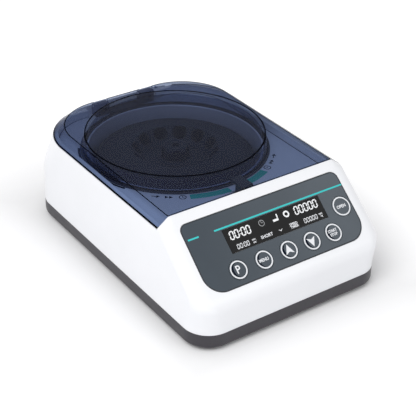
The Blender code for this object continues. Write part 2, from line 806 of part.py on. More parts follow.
def base_tray():
    """The dark lower shell: rounded edge, lip into the housing, motor posts, vents, foot holes."""
    lip_inset = HOUSING_WALL + GAP
    rows = tray_rounding() + [(SEAM_Z, 0.0), (SEAM_Z, lip_inset), (SEAM_Z + LIP_HEIGHT, lip_inset)]
    tray = loft("base_tray", [tray_ring(height, inset) for height, inset in rows], grey_plastic())
    hollow = [tray_ring(height, TRAY_WALL) for height in (TRAY_FLOOR_TOP, SEAM_Z + LIP_HEIGHT + OVERRUN)]
    combine(tray, loft("tray_hollow", hollow))
    for index, (x, y) in enumerate(damper_places()):
        union(tray, cylinder(
            f"motor_post_{index}", DAMPER_RADIUS, FOOT_DROP + TRAY_FLOOR / 2,
            PLATE_Z - GAP - DAMPER_HEIGHT - GAP, matrix=Matrix.Translation((x, y, 0))))
    for index, (x, y) in enumerate(board_posts()):
        union(tray, cylinder(
            f"board_post_{index}", BOARD_POST_RADIUS, FOOT_DROP + TRAY_FLOOR / 2,
            TRAY_FLOOR_TOP + MAIN_BOARD_RISE - GAP, matrix=Matrix.Translation((x, y, 0)), steps=TINY_STEPS))
    for index, (x, y) in enumerate(body_posts()):
        place = Matrix.Translation((x, y, 0))
        union(tray, cylinder(
            f"screw_post_{index}", POST_RADIUS, FOOT_DROP + TRAY_FLOOR / 2,
            SEAM_Z + LIP_HEIGHT, matrix=place, steps=TINY_STEPS))
        combine(tray, cylinder(
            f"screw_bore_{index}", SCREW_RADIUS + GAP, FOOT_DROP - OVERRUN,
            SEAM_Z + LIP_HEIGHT + OVERRUN, matrix=place, steps=TINY_STEPS))
        combine(tray, cylinder(
            f"screw_sink_{index}", SCREW_HEAD + GAP, FOOT_DROP - OVERRUN,
            FOOT_DROP + SCREW_HEAD + GAP, matrix=place, steps=TINY_STEPS))
    for name, (x, y) in foot_places().items():
        combine(tray, cylinder(
            name + "_hole", FOOT_STEM + GAP, -OVERRUN, TRAY_FLOOR_TOP + OVERRUN,
            matrix=Matrix.Translation((x, y, 0)), steps=TINY_STEPS))
    cut_vents(tray)
    return tray


def cut_vents(tray):
    """A row of slots in the tray's floor under the motor."""
    for index in range(VENT_COUNT):
        x = (index - (VENT_COUNT - 1) / 2) * VENT_PITCH
        combine(tray, box(
            f"vent_{index}",
            (x - VENT_WIDTH / 2, SPIN_Y - VENT_LENGTH / 2, FOOT_DROP - OVERRUN),
            (x + VENT_WIDTH / 2, SPIN_Y + VENT_LENGTH / 2, TRAY_FLOOR_TOP + OVERRUN),
        ))


def foot_places():
    places = {}
    for side, x in (("left", -FOOT_SIDE), ("right", FOOT_SIDE)):
        places["foot_front_" + side] = (x, -FOOT_FRONT)
        places["foot_rear_" + side] = (x, FOOT_FRONT)
    return places


def feet():
    """Rubber feet with a stem through the tray."""
    pad = FOOT_DROP - GAP
    chamfer = pad / 4
    for name, (x, y) in foot_places().items():
        turned(name, [
            (0, TRAY_FLOOR_TOP),
            (FOOT_STEM, TRAY_FLOOR_TOP),
            (FOOT_STEM, pad),
            (FOOT_RADIUS, pad),
            (FOOT_RADIUS, chamfer),
            (FOOT_RADIUS - chamfer, 0),
            (0, 0),
        ], black_rubber(), Vector((x, y, 0)), SMALL_STEPS)


def damper_places():
    half = DAMPER_PITCH / 2
    return [(x, SPIN_Y + y) for x in (-half, half) for y in (-half, half)]


def motor_mount():
    """The steel plate that carries the motor, on four rubber dampers."""
    half = PLATE_SIDE / 2
    corners = [(-half, -half), (half, -half), (half, half), (-half, half)]
    outline = rounded([(x, SPIN_Y + y, PLATE_CORNER) for x, y in corners])
    carrier = plate("motor_plate", outline, PLATE_Z, PLATE_Z + PLATE_THICKNESS, bare_steel())
    combine(carrier, cylinder(
        "plate_hole", COLLAR_RADIUS, PLATE_Z - OVERRUN, PLATE_Z + PLATE_THICKNESS + OVERRUN,
        matrix=Matrix.Translation(SPIN_AXIS)))
    for index, (x, y) in enumerate(damper_places()):
        top = PLATE_Z - GAP
        waist = DAMPER_RADIUS * 0.8
        turned(f"motor_damper_{index + 1}", [
            (0, top),
            (DAMPER_RADIUS, top),
            (waist, top - DAMPER_HEIGHT / 3),
            (waist, top - DAMPER_HEIGHT * 2 / 3),
            (DAMPER_RADIUS, top - DAMPER_HEIGHT),
            (0, top - DAMPER_HEIGHT),
        ], black_rubber(), Vector((x, y, 0)), TINY_STEPS)


def motor():
    """The motor's can, its two bearings and the shaft that carries the rotor."""
    chamfer = MOTOR_TUB
    can = turned("motor_housing", [
        (BEARING_RADIUS + GAP, MOTOR_TOP),
        (MOTOR_RADIUS - chamfer, MOTOR_TOP),
        (MOTOR_RADIUS, MOTOR_TOP - chamfer),
        (MOTOR_RADIUS, MOTOR_BASE + chamfer),
        (MOTOR_RADIUS - chamfer, MOTOR_BASE),
        (BEARING_RADIUS + GAP, MOTOR_BASE),
        (BEARING_RADIUS + GAP, MOTOR_BASE + BEARING_HEIGHT + GAP),
        (SHAFT_RADIUS * 2, MOTOR_BASE + BEARING_HEIGHT + GAP),
        (SHAFT_RADIUS * 2, MOTOR_TOP - BEARING_HEIGHT - GAP),
        (BEARING_RADIUS + GAP, MOTOR_TOP - BEARING_HEIGHT - GAP),
    ], bare_steel(), steps=SMALL_STEPS * 2)
    can.data.set_sharp_from_angle(angle=math.radians(30))
    for name, low in (("bearing_lower", MOTOR_BASE), ("bearing_upper", MOTOR_TOP - BEARING_HEIGHT)):
        turned(name, [
            (BEARING_RADIUS, low + BEARING_HEIGHT),
            (BEARING_RADIUS, low),
            (SHAFT_RADIUS + GAP, low),
            (SHAFT_RADIUS + GAP, low + BEARING_HEIGHT),
        ], bare_steel(), steps=SMALL_STEPS)
    top = nut_top() - NUT_HEIGHT / 3
    turned("motor_shaft", [
        (0, top),
        (SHAFT_RADIUS - GAP, top),
        (SHAFT_RADIUS, top - GAP),
        (SHAFT_RADIUS, MOTOR_BASE),
        (0, MOTOR_BASE),
    ], bare_steel(), steps=SMALL_STEPS)


def bowl():
    """The rotor chamber, with a rolled rim, a rounded floor and a collar round the shaft."""
    inner = BOWL_RADIUS - BOWL_WALL
    bend_r, bend_z = inner - BOWL_BEND, BOWL_FLOOR + BOWL_BEND
    outside, inside = [], []
    for step in range(FILLET_STEPS + 1):
        angle = math.pi / 2 * step / FILLET_STEPS
        reach = BOWL_BEND + BOWL_WALL
        outside.append((bend_r + reach * math.cos(angle), bend_z - reach * math.sin(angle)))
        inside.append((bend_r + BOWL_BEND * math.cos(angle), bend_z - BOWL_BEND * math.sin(angle)))
    hole = SHAFT_RADIUS + SHAFT_CLEARANCE
    crown = BOWL_WALL / 3
    profile = [
        (BOWL_RADIUS - crown, RIM_Z),
        (BOWL_RADIUS, RIM_Z - crown),
        *outside,
        (hole, BOWL_BASE),
        (hole, BOWL_FLOOR + COLLAR_HEIGHT),
        (COLLAR_RADIUS - BOWL_WALL / 2, BOWL_FLOOR + COLLAR_HEIGHT),
        (COLLAR_RADIUS, BOWL_FLOOR + COLLAR_HEIGHT - BOWL_WALL / 2),
        (COLLAR_RADIUS, BOWL_FLOOR),
        *reversed(inside),
        (inner, RIM_Z - crown),
        (inner + crown, RIM_Z),
    ]
    return turned("rotor_bowl", profile, bare_steel())


def bowl_gasket():
    """The black seal between bowl and deck, which the lid's skirt meets."""
    flange = DECK_HOLE + GASKET_FLANGE
    seat = DECK_Z + GAP
    profile = [
        (DECK_HOLE, GASKET_TOP),
        (flange, seat + GASKET_THICKNESS),
        (flange, seat),
        (DECK_HOLE - GAP, seat),
        (DECK_HOLE - GAP, seat - GASKET_DEPTH),
        (GASKET_INNER, seat - GASKET_DEPTH),
        (GASKET_INNER, GASKET_TOP),
    ]
    return turned("bowl_gasket", profile, black_rubber())


def rotor():
    """The angle rotor: a crater whose slope holds the tube mouths, over a hollow cone with a hub."""
    reach = TUBE_BORE / math.cos(TUBE_ANGLE)
    bottom_r = MOUTH_RADIUS + TUBE_DEPTH * math.sin(TUBE_ANGLE)
    under_r = bottom_r - TUBE_BORE - ROTOR_SKIN
    bore_line = MOUTH_Z + MOUTH_RADIUS - reach - ROTOR_SKIN
    floor_under = CRATER_FLOOR - ROTOR_SKIN
    hub_base = ROTOR_BASE + HUB_SHORT
    hub_side = HUB_RADIUS - GAP * 2
    rim_bottom = ROTOR_EDGE - ROTOR_RIM_HEIGHT
    edge = ROTOR_SKIN / 2
    profile = [
        (SHAFT_RADIUS + GAP, CRATER_FLOOR + edge),
        (HUB_RADIUS, CRATER_FLOOR + edge),
        (HUB_RADIUS + edge, CRATER_FLOOR),
        (CRATER_FLOOR_RADIUS, CRATER_FLOOR),
        (CRATER_RIM_RADIUS, CRATER_RIM),
        (CRATER_RIM_RADIUS + edge, CRATER_RIM),
        (ROTOR_RADIUS - edge, ROTOR_EDGE + edge),
        (ROTOR_RADIUS, ROTOR_EDGE),
        (ROTOR_RADIUS, rim_bottom),
        (ROTOR_RADIUS - ROTOR_SKIN, ROTOR_BASE + edge),
        (ROTOR_RADIUS - ROTOR_SKIN * 2, ROTOR_BASE),
        (under_r, ROTOR_BASE),
        (under_r, bore_line - under_r),
        (bore_line - floor_under, floor_under),
        (hub_side, floor_under),
        (hub_side, hub_base),
        (SHAFT_RADIUS + GAP, hub_base),
    ]
    wheel = turned("rotor", profile, black_plastic())
    for index in range(TUBE_COUNT):
        turn = ROTOR_REST_ANGLE + 2 * math.pi * index / TUBE_COUNT
        place = (
            Matrix.Translation(SPIN_AXIS)
            @ Matrix.Rotation(turn, 4, "Z")
            @ Matrix.Translation((MOUTH_RADIUS, 0, MOUTH_Z))
            @ Matrix.Rotation(math.pi - TUBE_ANGLE, 4, "Y")
        )
        combine(wheel, tube_cutter(f"tube_{index}", place))
    return wheel


def tube_cutter(name, place):
    """A round ended tube bore, with a small lead-in at its mouth."""
    straight = TUBE_DEPTH - TUBE_BORE
    lead = TUBE_BORE / 8
    mesh = bpy.data.meshes.new(name)
    shape = bmesh.new()
    profile = [
        (0, -OVERRUN * 2), (TUBE_BORE + lead, -OVERRUN * 2), (TUBE_BORE + lead, 0),
        (TUBE_BORE, lead), (TUBE_BORE, straight), (TUBE_BORE / 2, TUBE_DEPTH), (0, TUBE_DEPTH),
    ]
    verts = [shape.verts.new((radius, 0, depth)) for radius, depth in reversed(profile)]
    edges = [shape.edges.new(pair) for pair in zip(verts, verts[1:])]
    bmesh.ops.spin(
        shape, geom=verts + edges, axis=(0, 0, 1), cent=(0, 0, 0), angle=2 * math.pi,
        steps=TINY_STEPS + 4, use_merge=True)
    bmesh.ops.remove_doubles(shape, verts=shape.verts, dist=GAP / 10)
    bmesh.ops.recalc_face_normals(shape, faces=shape.faces)
    shape.to_mesh(mesh)
    shape.free()
    return add_mesh(name, mesh, None, place)


def nut_top():
    return CRATER_FLOOR + ROTOR_SKIN / 2 + GAP + NUT_HEIGHT


def rotor_nut():
    """The finger nut on the shaft, with lobes for the fingers."""
    low = nut_top() - NUT_HEIGHT
    dome = NUT_HEIGHT / 6
    bore = SHAFT_RADIUS + GAP
    profile = [
        (bore, nut_top()),
        (NUT_RADIUS - dome * 2, nut_top()),
        (NUT_RADIUS - dome / 2, nut_top() - dome / 2),
        (NUT_RADIUS, nut_top() - dome * 2),
        (NUT_RADIUS, low + dome),
        (NUT_RADIUS - dome, low),
        (bore, low),
    ]
    nut = turned("rotor_nut", profile, black_plastic(), steps=SMALL_STEPS * 2)
    for index in range(NUT_LOBES):
        turn = 2 * math.pi * index / NUT_LOBES
        reach = NUT_RADIUS + LOBE_RADIUS / 2
        place = Matrix.Translation(SPIN_AXIS + Vector((reach * math.cos(turn), reach * math.sin(turn), 0)))
        combine(nut, cylinder(
            f"nut_lobe_{index}", LOBE_RADIUS, low - OVERRUN, nut_top() + OVERRUN,
            matrix=place, steps=TINY_STEPS))
    return nut


def lid_ring(height, inset, front):
    return ring(
        height,
        half_width(height) - inset,
        front,
        rear_at(height) - inset,
        LEAST_CORNER / 2,
        rear_corner(height) - inset,
    )


def lid_shell():
    """The tinted lid: a flat plate with a rounded shoulder and a round window over the rotor."""
    top = [LID_EDGE_Z] + [z for z in shoulder_levels(TOP_Z - SHOULDER_DROP, TOP_Z) if z > LID_EDGE_Z + GAP]
    lid = loft("lid_shell", [lid_ring(z, 0.0, LID_FRONT_Y) for z in top], tinted_clear())
    ceiling = TOP_Z - LID_WALL
    front = LID_FRONT_Y - OVERRUN
    crease = half_width(ceiling) - LID_CREASE_HALF
    level = lid_ring(LID_EDGE_Z, LID_WALL, front)
    below = [(x, y, z - OVERRUN) for x, y, z in level]
    combine(lid, loft("lid_hollow", [below, level, lid_ring(ceiling, crease, front)]))
    combine(lid, box(
        "lid_rear_cut", (-BODY_WIDTH, LID_REAR_Y, LID_EDGE_Z - OVERRUN),
        (BODY_WIDTH, BODY_DEPTH, TOP_Z + OVERRUN)))
    combine(lid, box(
        "lid_hinge_bay", (-HINGE_BAY_HALF, hinge_front(), LID_EDGE_Z - OVERRUN * 2),
        (HINGE_BAY_HALF, BODY_DEPTH + OVERRUN, ceiling)))
    for side, name in ((-HINGE_SIDE, "left"), (HINGE_SIDE, "right")):
        half = HINGE_WIDTH / 2 + GAP
        combine(lid, box(
            "lid_notch_" + name,
            (side - half, HINGE_Y - KNUCKLE_RADIUS - GAP * 2, LID_EDGE_Z - OVERRUN / 2),
            (side + half, BODY_DEPTH - OVERRUN, TOP_Z + OVERRUN * 2)))
    add_lid_window(lid)
    return lid


def add_lid_window(lid):
    """The raised round window, whose skirt reaches down to the bowl's seal."""
    skirt_foot = GASKET_TOP + GAP
    boss_top = TOP_Z + BOSS_RISE
    round_edge = LID_WALL / 4
    union(lid, turned("lid_window", [
        (0, boss_top),
        (BOSS_RADIUS - round_edge, boss_top),
        (BOSS_RADIUS, boss_top - round_edge),
        (BOSS_RADIUS + SKIRT_FLARE, skirt_foot),
        (0, skirt_foot),
    ]))
    combine(lid, turned("lid_window_hollow", [
        (0, boss_top - LID_WALL),
        (BOSS_RADIUS - LID_WALL, boss_top - LID_WALL),
        (BOSS_RADIUS + SKIRT_FLARE - LID_WALL, skirt_foot),
        (BOSS_RADIUS + SKIRT_FLARE - LID_WALL, skirt_foot - OVERRUN),
        (0, skirt_foot - OVERRUN),
    ]))


def side_plate(name, outline, low, high, material=None):
    """A plate whose outline is (y, z) and whose thickness runs across the body, from low to high."""
    frame = Matrix(((0, 0, 1, 0), (1, 0, 0, 0), (0, 1, 0, 0), (0, 0, 0, 1)))
    return plate(name, outline, low, high, material, frame)


def across(name, radius, low, high, material=None):
    """A round bar on the hinge axis."""
    frame = Matrix.Translation((0, HINGE_Y, HINGE_Z)) @ Matrix.Rotation(math.pi / 2, 4, "Y")
    return cylinder(name, radius, low, high, material, frame, TINY_STEPS + 4)


def knuckle_outline(front, low):
    """Side view of a hinge leaf: a block from the front that ends in the round knuckle."""
    knuckle = arc(HINGE_Y, HINGE_Z, KNUCKLE_RADIUS, 0, math.pi / 2, TINY_STEPS)
    return [(front, low), (HINGE_Y + KNUCKLE_RADIUS, low), *knuckle, (front, HINGE_Z + KNUCKLE_RADIUS)]


def hinge_front():
    """Where the hinge leaves begin, behind the seal's flange."""
    return SPIN_Y + DECK_HOLE + GASKET_FLANGE + GAP


def hinges():
    """Two hinges, each a bracket on the deck with two cheeks, the lid's arm between them and a pin."""
    ceiling = TOP_Z - LID_WALL - GAP
    seat = DECK_Z + GAP
    bracket_front = hinge_front()
    cheek = (HINGE_WIDTH - HINGE_ARM_WIDTH) / 2 - GAP
    for side, name in ((-HINGE_SIDE, "left"), (HINGE_SIDE, "right")):
        left, right = side - HINGE_WIDTH / 2, side + HINGE_WIDTH / 2
        bracket = side_plate(
            "hinge_bracket_" + name, knuckle_outline(bracket_front, seat), left, right, black_plastic())
        combine(bracket, box(
            "hinge_slot_" + name,
            (left + cheek, bracket_front - OVERRUN, seat + DECK_THICKNESS),
            (right - cheek, BODY_DEPTH, TOP_Z + OVERRUN)))
        arm_low = HINGE_Z - KNUCKLE_RADIUS
        arm = side_plate(
            "hinge_arm_" + name,
            [(bracket_front + GAP, arm_low), (HINGE_Y, arm_low)]
            + arc(HINGE_Y, HINGE_Z, KNUCKLE_RADIUS, -math.pi / 2, math.pi, TINY_STEPS)
            + [(HINGE_Y - KNUCKLE_RADIUS, ceiling), (bracket_front + GAP, ceiling)],
            left + cheek + GAP, right - cheek - GAP, black_plastic())
        for leaf in (bracket, arm):
            combine(leaf, across(
                leaf.name + "_bore", PIN_RADIUS + GAP, left - OVERRUN, right + OVERRUN))
        across("hinge_pin_" + name, PIN_RADIUS, left, right, bare_steel())


def hook_front():
    return LID_FRONT_Y + HOOK_BACK


def latch():
    """The lid's hook, and the solenoid under the deck whose bolt runs over the hook's nose."""
    ceiling = TOP_Z - LID_WALL - GAP
    front, back = hook_front(), hook_front() + HOOK_LENGTH
    middle = (front + back) / 2
    low_y, high_y = middle - HOOK_DEPTH / 2, middle + HOOK_DEPTH / 2
    foot = ceiling - HOOK_DROP
    shank = HOOK_SHANK / 2
    hook = box(
        "latch_hook", (-HOOK_WIDTH / 2, front, ceiling - HOOK_PLATE), (HOOK_WIDTH / 2, back, ceiling),
        black_plastic())
    nose = [
        (-shank, foot), (shank, foot), (shank + HOOK_REACH, foot + HOOK_NOSE * 2 / 3),
        (shank + HOOK_REACH, foot + HOOK_NOSE), (shank, foot + HOOK_NOSE),
        (shank, ceiling - HOOK_PLATE / 2), (-shank, ceiling - HOOK_PLATE / 2),
    ]
    frame = Matrix.Rotation(math.pi / 2, 4, "X")
    union(hook, plate("latch_shank", nose, -high_y, -low_y, matrix=frame))
    bolt_low = foot + HOOK_NOSE + GAP
    bolt_start = shank + HOOK_REACH + GAP
    bolt_end = bolt_start + BOLT_LENGTH
    bolt_y = BOLT_DEPTH / 2
    bolt = plate("latch_bolt", [
        (bolt_start + BOLT_TIP, middle - bolt_y), (bolt_end, middle - bolt_y),
        (bolt_end, middle + bolt_y), (bolt_start + BOLT_TIP, middle + bolt_y),
        (bolt_start, middle + bolt_y / 2), (bolt_start, middle - bolt_y / 2),
    ], bolt_low, bolt_low + BOLT_HEIGHT, bare_steel())
    wall = SOLENOID_WALL
    body_start = bolt_end - BOLT_LENGTH / 2
    top = DECK_Z - DECK_THICKNESS - GAP
    body = box(
        "latch_solenoid", (body_start, middle - bolt_y - wall, bolt_low - wall),
        (body_start + SOLENOID_LENGTH, middle + bolt_y + wall, top), black_plastic())
    combine(body, box(
        "solenoid_bore", (body_start - OVERRUN, middle - bolt_y - GAP, bolt_low - GAP),
        (bolt_end + GAP, middle + bolt_y + GAP, bolt_low + BOLT_HEIGHT + GAP)))
    return hook, bolt, body


def control_panel():
    """The overlay, its display and buttons, and the board behind them."""
    overlay = plate(
        "panel_overlay", panel_outline(), -PANEL_THICKNESS, 0, slate_film(), panel_frame())
    combine(overlay, display_box("overlay_window", 0.0, -PANEL_THICKNESS - OVERRUN, OVERRUN))
    display_box("display_window", -GAP, -PANEL_THICKNESS, 0, black_plastic())
    board_top = -CONTROL_BOARD_DEPTH
    display_box(
        "display_module", DISPLAY_LEDGE, board_top + GAP, board_top + GAP + DISPLAY_DEPTH, black_plastic())
    board = box(
        "control_board",
        (-CONTROL_BOARD_WIDTH / 2, CONTROL_BOARD_RISE - CONTROL_BOARD_LENGTH / 2, board_top - BOARD_THICKNESS),
        (CONTROL_BOARD_WIDTH / 2, CONTROL_BOARD_RISE + CONTROL_BOARD_LENGTH / 2, board_top),
        green_board(), panel_frame())
    for name, place in BUTTONS.items():
        combine(overlay, cylinder(
            name + "_seat", place[2] + GAP, -PANEL_THICKNESS - OVERRUN, OVERRUN,
            matrix=button_frame(place), steps=SMALL_STEPS))
        button(name, place)
        key_top = board_top + (CONTROL_BOARD_DEPTH - HOUSING_WALL) / 3
        union(board, cylinder(
            name + "_key", BUTTON_STEM, board_top - BOARD_THICKNESS / 2, key_top,
            matrix=button_frame(place), steps=TINY_STEPS))
    return overlay


def button(name, place):
    """A round cap, slightly domed, with the stem that reaches its key on the board."""
    radius = place[2]
    key_top = -CONTROL_BOARD_DEPTH + (CONTROL_BOARD_DEPTH - HOUSING_WALL) / 3
    stem_end = key_top + BUTTON_TRAVEL + GAP
    cap = turned(name, [
        (0, BUTTON_PROUD + GAP),
        (radius * 0.7, BUTTON_PROUD + GAP / 2),
        (radius - GAP, BUTTON_PROUD),
        (radius, BUTTON_PROUD - GAP / 2),
        (radius, BUTTON_PROUD - BUTTON_CAP),
        (BUTTON_STEM, BUTTON_PROUD - BUTTON_CAP),
        (BUTTON_STEM, stem_end),
        (0, stem_end),
    ], slate_film(), Vector((0, 0, 0)), SMALL_STEPS)
    cap.matrix_world = button_frame(place)
    return cap


def board_posts():
    """Places of the main board's posts."""
    across_x = MAIN_BOARD_WIDTH / 2 - BOARD_INSET
    low = FRONT_Y + TRAY_WALL + MAIN_BOARD_FRONT + BOARD_INSET
    high = low + MAIN_BOARD_LENGTH - BOARD_INSET * 2
    return [(x, y) for x in (-across_x, across_x) for y in (low, high)]


def main_board():
    """The supply and drive board in the tray, with its large parts."""
    low = TRAY_FLOOR_TOP + MAIN_BOARD_RISE
    front = FRONT_Y + TRAY_WALL + MAIN_BOARD_FRONT
    half = MAIN_BOARD_WIDTH / 2
    board = box(
        "main_board", (-half, front, low), (half, front + MAIN_BOARD_LENGTH, low + BOARD_THICKNESS), green_board())
    tall = MAIN_BOARD_LENGTH / 5
    for index, share in enumerate((-0.6, -0.2, 0.25, 0.65)):
        middle = Vector((half * share, front + MAIN_BOARD_LENGTH * 0.55, 0))
        if index % 2:
            union(board, cylinder(
                f"board_can_{index}", tall / 2, low + BOARD_THICKNESS / 2, low + tall,
                matrix=Matrix.Translation(middle), steps=TINY_STEPS))
        else:
            union(board, box(
                f"board_block_{index}", middle - Vector((tall, tall / 2, -low - BOARD_THICKNESS / 2)),
                middle + Vector((tall, tall / 2, low + tall))))
    return board


def base_screws():
    """Four screws from below, through the tray into the housing's posts."""
    head_low, head_high = FOOT_DROP + GAP * 2, FOOT_DROP + SCREW_HEAD
    for index, (x, y) in enumerate(body_posts()):
        turned(f"base_screw_{index + 1}", [
            (0, FOOT_DROP + SCREW_LENGTH),
            (SCREW_RADIUS, FOOT_DROP + SCREW_LENGTH),
            (SCREW_RADIUS, head_high),
            (SCREW_HEAD, head_high),
            (SCREW_HEAD, head_low),
            (0, head_low),
        ], bare_steel(), Vector((x, y, 0)), TINY_STEPS)


def power_switch():
    """The rear rocker switch: a bezel with its body, and the rocker, which rests tilted to off."""
    floor = BODY_DEPTH / 2 - PORT_DEPTH
    wide, tall = SWITCH_WIDTH / 2, SWITCH_HEIGHT / 2
    body_wide, body_tall = wide - SWITCH_WALL, tall - SWITCH_WALL / 2
    bezel = box(
        "switch_bezel", (-SWITCH_SIDE - wide, floor + GAP, port_z() - tall),
        (-SWITCH_SIDE + wide, floor + GAP + SWITCH_BEZEL, port_z() + tall), black_plastic())
    union(bezel, box(
        "switch_body", (-SWITCH_SIDE - body_wide, floor - SWITCH_BODY, port_z() - body_tall),
        (-SWITCH_SIDE + body_wide, floor + GAP + SWITCH_BEZEL / 2, port_z() + body_tall)))
    well_wide, well_tall = body_wide - SWITCH_WALL / 2, body_tall - SWITCH_WALL / 2
    combine(bezel, box(
        "switch_well",
        (-SWITCH_SIDE - well_wide, floor - SWITCH_BODY / 2, port_z() - well_tall),
        (-SWITCH_SIDE + well_wide, floor + OVERRUN, port_z() + well_tall)))
    reach = well_tall - SWITCH_WALL / 2
    end = floor + GAP + SWITCH_BEZEL + ROCKER_RISE / 2
    outline = [
        (end - ROCKER_RISE * 2, -reach), (end, -reach), (end - ROCKER_RISE * 2 / 3, 0), (end, reach),
        (end - ROCKER_RISE * 2, reach), (end - ROCKER_RISE * 3, 0),
    ]
    pivot = rocker_pivot()
    turn = Matrix.Translation(pivot) @ Matrix.Rotation(-ROCKER_TILT, 4, "X") @ Matrix.Translation(-pivot)
    rocker_wide = well_wide - GAP
    rocker = side_plate(
        "switch_rocker", [(y, port_z() + z) for y, z in outline],
        -SWITCH_SIDE - rocker_wide, -SWITCH_SIDE + rocker_wide, black_plastic())
    rocker.matrix_world = turn @ rocker.matrix_world
    return bezel, rocker


def rocker_pivot():
    """The rocker's axis, just under its face."""
    end = BODY_DEPTH / 2 - PORT_DEPTH + GAP + SWITCH_BEZEL + ROCKER_RISE / 2
    return Vector((-SWITCH_SIDE, end - ROCKER_RISE * 2, port_z()))


def power_jack():
    """The supply socket in the rear recess, with its centre pin."""
    floor = BODY_DEPTH / 2 - PORT_DEPTH
    jack = cylinder(
        "power_jack", JACK_RADIUS, -SWITCH_BEZEL, JACK_DEPTH, black_plastic(),
        rear_frame(JACK_SIDE, floor))
    union(jack, cylinder(
        "jack_flange", JACK_RADIUS + SWITCH_WALL, -SWITCH_BEZEL - GAP, -GAP, matrix=rear_frame(JACK_SIDE, floor)))
    combine(jack, cylinder(
        "jack_bore", JACK_BORE, -OVERRUN, JACK_DEPTH * 0.8, matrix=rear_frame(JACK_SIDE, floor), steps=TINY_STEPS))
    union(jack, cylinder(
        "jack_pin", JACK_PIN, 0, JACK_DEPTH * 0.9, matrix=rear_frame(JACK_SIDE, floor), steps=TINY_STEPS))
    return jack


def main():
    clear_scene()
    base_tray()
    feet()
    upper_housing()
    base_screws()
    main_board()
    motor_mount()
    motor()
    bowl()
    bowl_gasket()
    rotor()
    rotor_nut()
    control_panel()
    lid_shell()
    hinges()
    latch()
    power_switch()
    power_jack()
    bpy.context.view_layer.update()


main()
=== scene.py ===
"""The looks of a bench mini centrifuge: white housing, tinted lid, angle rotor, sloping panel."""

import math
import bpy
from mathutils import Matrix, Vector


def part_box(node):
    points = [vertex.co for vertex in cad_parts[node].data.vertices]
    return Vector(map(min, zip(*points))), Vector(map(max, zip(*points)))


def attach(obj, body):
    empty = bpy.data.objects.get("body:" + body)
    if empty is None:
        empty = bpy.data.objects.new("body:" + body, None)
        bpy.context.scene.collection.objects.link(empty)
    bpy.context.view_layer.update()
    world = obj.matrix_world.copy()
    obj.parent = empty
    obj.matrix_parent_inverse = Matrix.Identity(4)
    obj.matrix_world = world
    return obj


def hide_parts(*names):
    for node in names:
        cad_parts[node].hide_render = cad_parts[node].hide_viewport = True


bl_info = {
    "name": "Bench Mini Centrifuge",
    "version": (1, 0, 0),
    "blender": (4, 5, 0),
    "location": "3D View > Sidebar > Centrifuge",
    "description": "Builds the visible pieces, finishes and studio of a bench mini centrifuge",
    "category": "Object",
}

import bmesh
import bpy
from bpy.props import EnumProperty, FloatProperty, FloatVectorProperty, IntProperty, PointerProperty
from mathutils import Matrix, Vector

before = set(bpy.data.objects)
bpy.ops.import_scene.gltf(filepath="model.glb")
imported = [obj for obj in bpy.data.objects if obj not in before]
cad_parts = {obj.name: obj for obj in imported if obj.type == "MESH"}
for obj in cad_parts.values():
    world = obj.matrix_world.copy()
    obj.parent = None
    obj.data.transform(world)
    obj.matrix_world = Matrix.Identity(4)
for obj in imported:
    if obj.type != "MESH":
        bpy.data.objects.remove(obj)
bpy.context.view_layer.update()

MM = 0.001
HOUSING_LOW, HOUSING_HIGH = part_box("upper_housing")
TRAY_LOW, TRAY_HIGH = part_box("base_tray")
LID_LOW, LID_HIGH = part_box("lid_shell")
BOWL_LOW, BOWL_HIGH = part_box("rotor_bowl")
GASKET_LOW, GASKET_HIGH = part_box("bowl_gasket")
ROTOR_LOW, ROTOR_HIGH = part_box("rotor")
NUT_LOW, NUT_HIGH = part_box("rotor_nut")
SEAM = float(HOUSING_LOW.z) - 0.3 * MM
TOP = float(LID_HIGH.z) - 0.4 * MM


def linear(red, green, blue):
    """Scene colour of a colour given in display steps from 0 to 255."""
    steps = [value / 255 for value in (red, green, blue)]
    return tuple(v / 12.92 if v <= 0.04045 else ((v + 0.055) / 1.055) ** 2.4 for v in steps)


def colour(name, description, default):
    return FloatVectorProperty(name=name, description=description, default=default, size=3,
                               min=0.0, max=1.0, subtype="COLOR")


def length(name, description, default):
    return FloatProperty(name=name, description=description, default=default, min=0.0,
                         unit="LENGTH", subtype="DISTANCE", precision=4)


def angle(name, description, degrees):
    return FloatProperty(name=name, description=description, default=math.radians(degrees),
                         unit="ROTATION", subtype="ANGLE")


def number(name, description, default, low=0.0, high=1000.0):
    return FloatProperty(name=name, description=description, default=default, min=low, max=high)


class BodySettings(bpy.types.PropertyGroup):
    white: colour("White", "Glossy white of the housing", (0.86, 0.87, 0.90))
    tray: colour("Tray", "Dark grey of the base tray", linear(52, 50, 56))
    rubber: colour("Rubber", "Feet and seal", (0.012, 0.012, 0.014))
    deck_label: colour("Deck label", "Teal of the two curved labels on the deck", linear(36, 200, 176))
    wall: length("Wall", "Thickness of the housing's wall", 2.5 * MM)
    shoulder_reach: length("Shoulder reach", "How far the chamfered shoulder runs in at the sides", 9.1 * MM)
    rear_reach: length("Rear reach", "How far the chamfered shoulder runs in at the rear", 7.4 * MM)
    shoulder_drop: length("Shoulder drop", "How far the chamfered shoulder runs down", 7.3 * MM)
    shoulder_bend: number("Shoulder bend", "Share of the drop that is a bend", 0.15, 0.01, 1.0)
    side_draft: length("Side draft", "How far the walls lean in from the seam to the top", 1.5 * MM)
    front_corner: length("Front corner", "Radius of the front corners at the seam", 21 * MM)
    rear_corner: length("Rear corner", "Radius of the rear corners at the seam", 28 * MM)
    top_corner: length("Top corner", "Radius of the rear corners at the top", 52.7 * MM)
    panel_tilt: angle("Panel tilt", "Slope of the control panel", 39.4)
    row_back: length("Row back", "Distance of the button row behind the front", 15 * MM)
    row_rise: length("Row rise", "Height of the button row above the seam", 37 * MM)
    lower_fillet: length("Lower fillet", "Radius between front wall and panel slope", 14 * MM)
    upper_fillet: length("Upper fillet", "Radius between panel slope and top", 6 * MM)


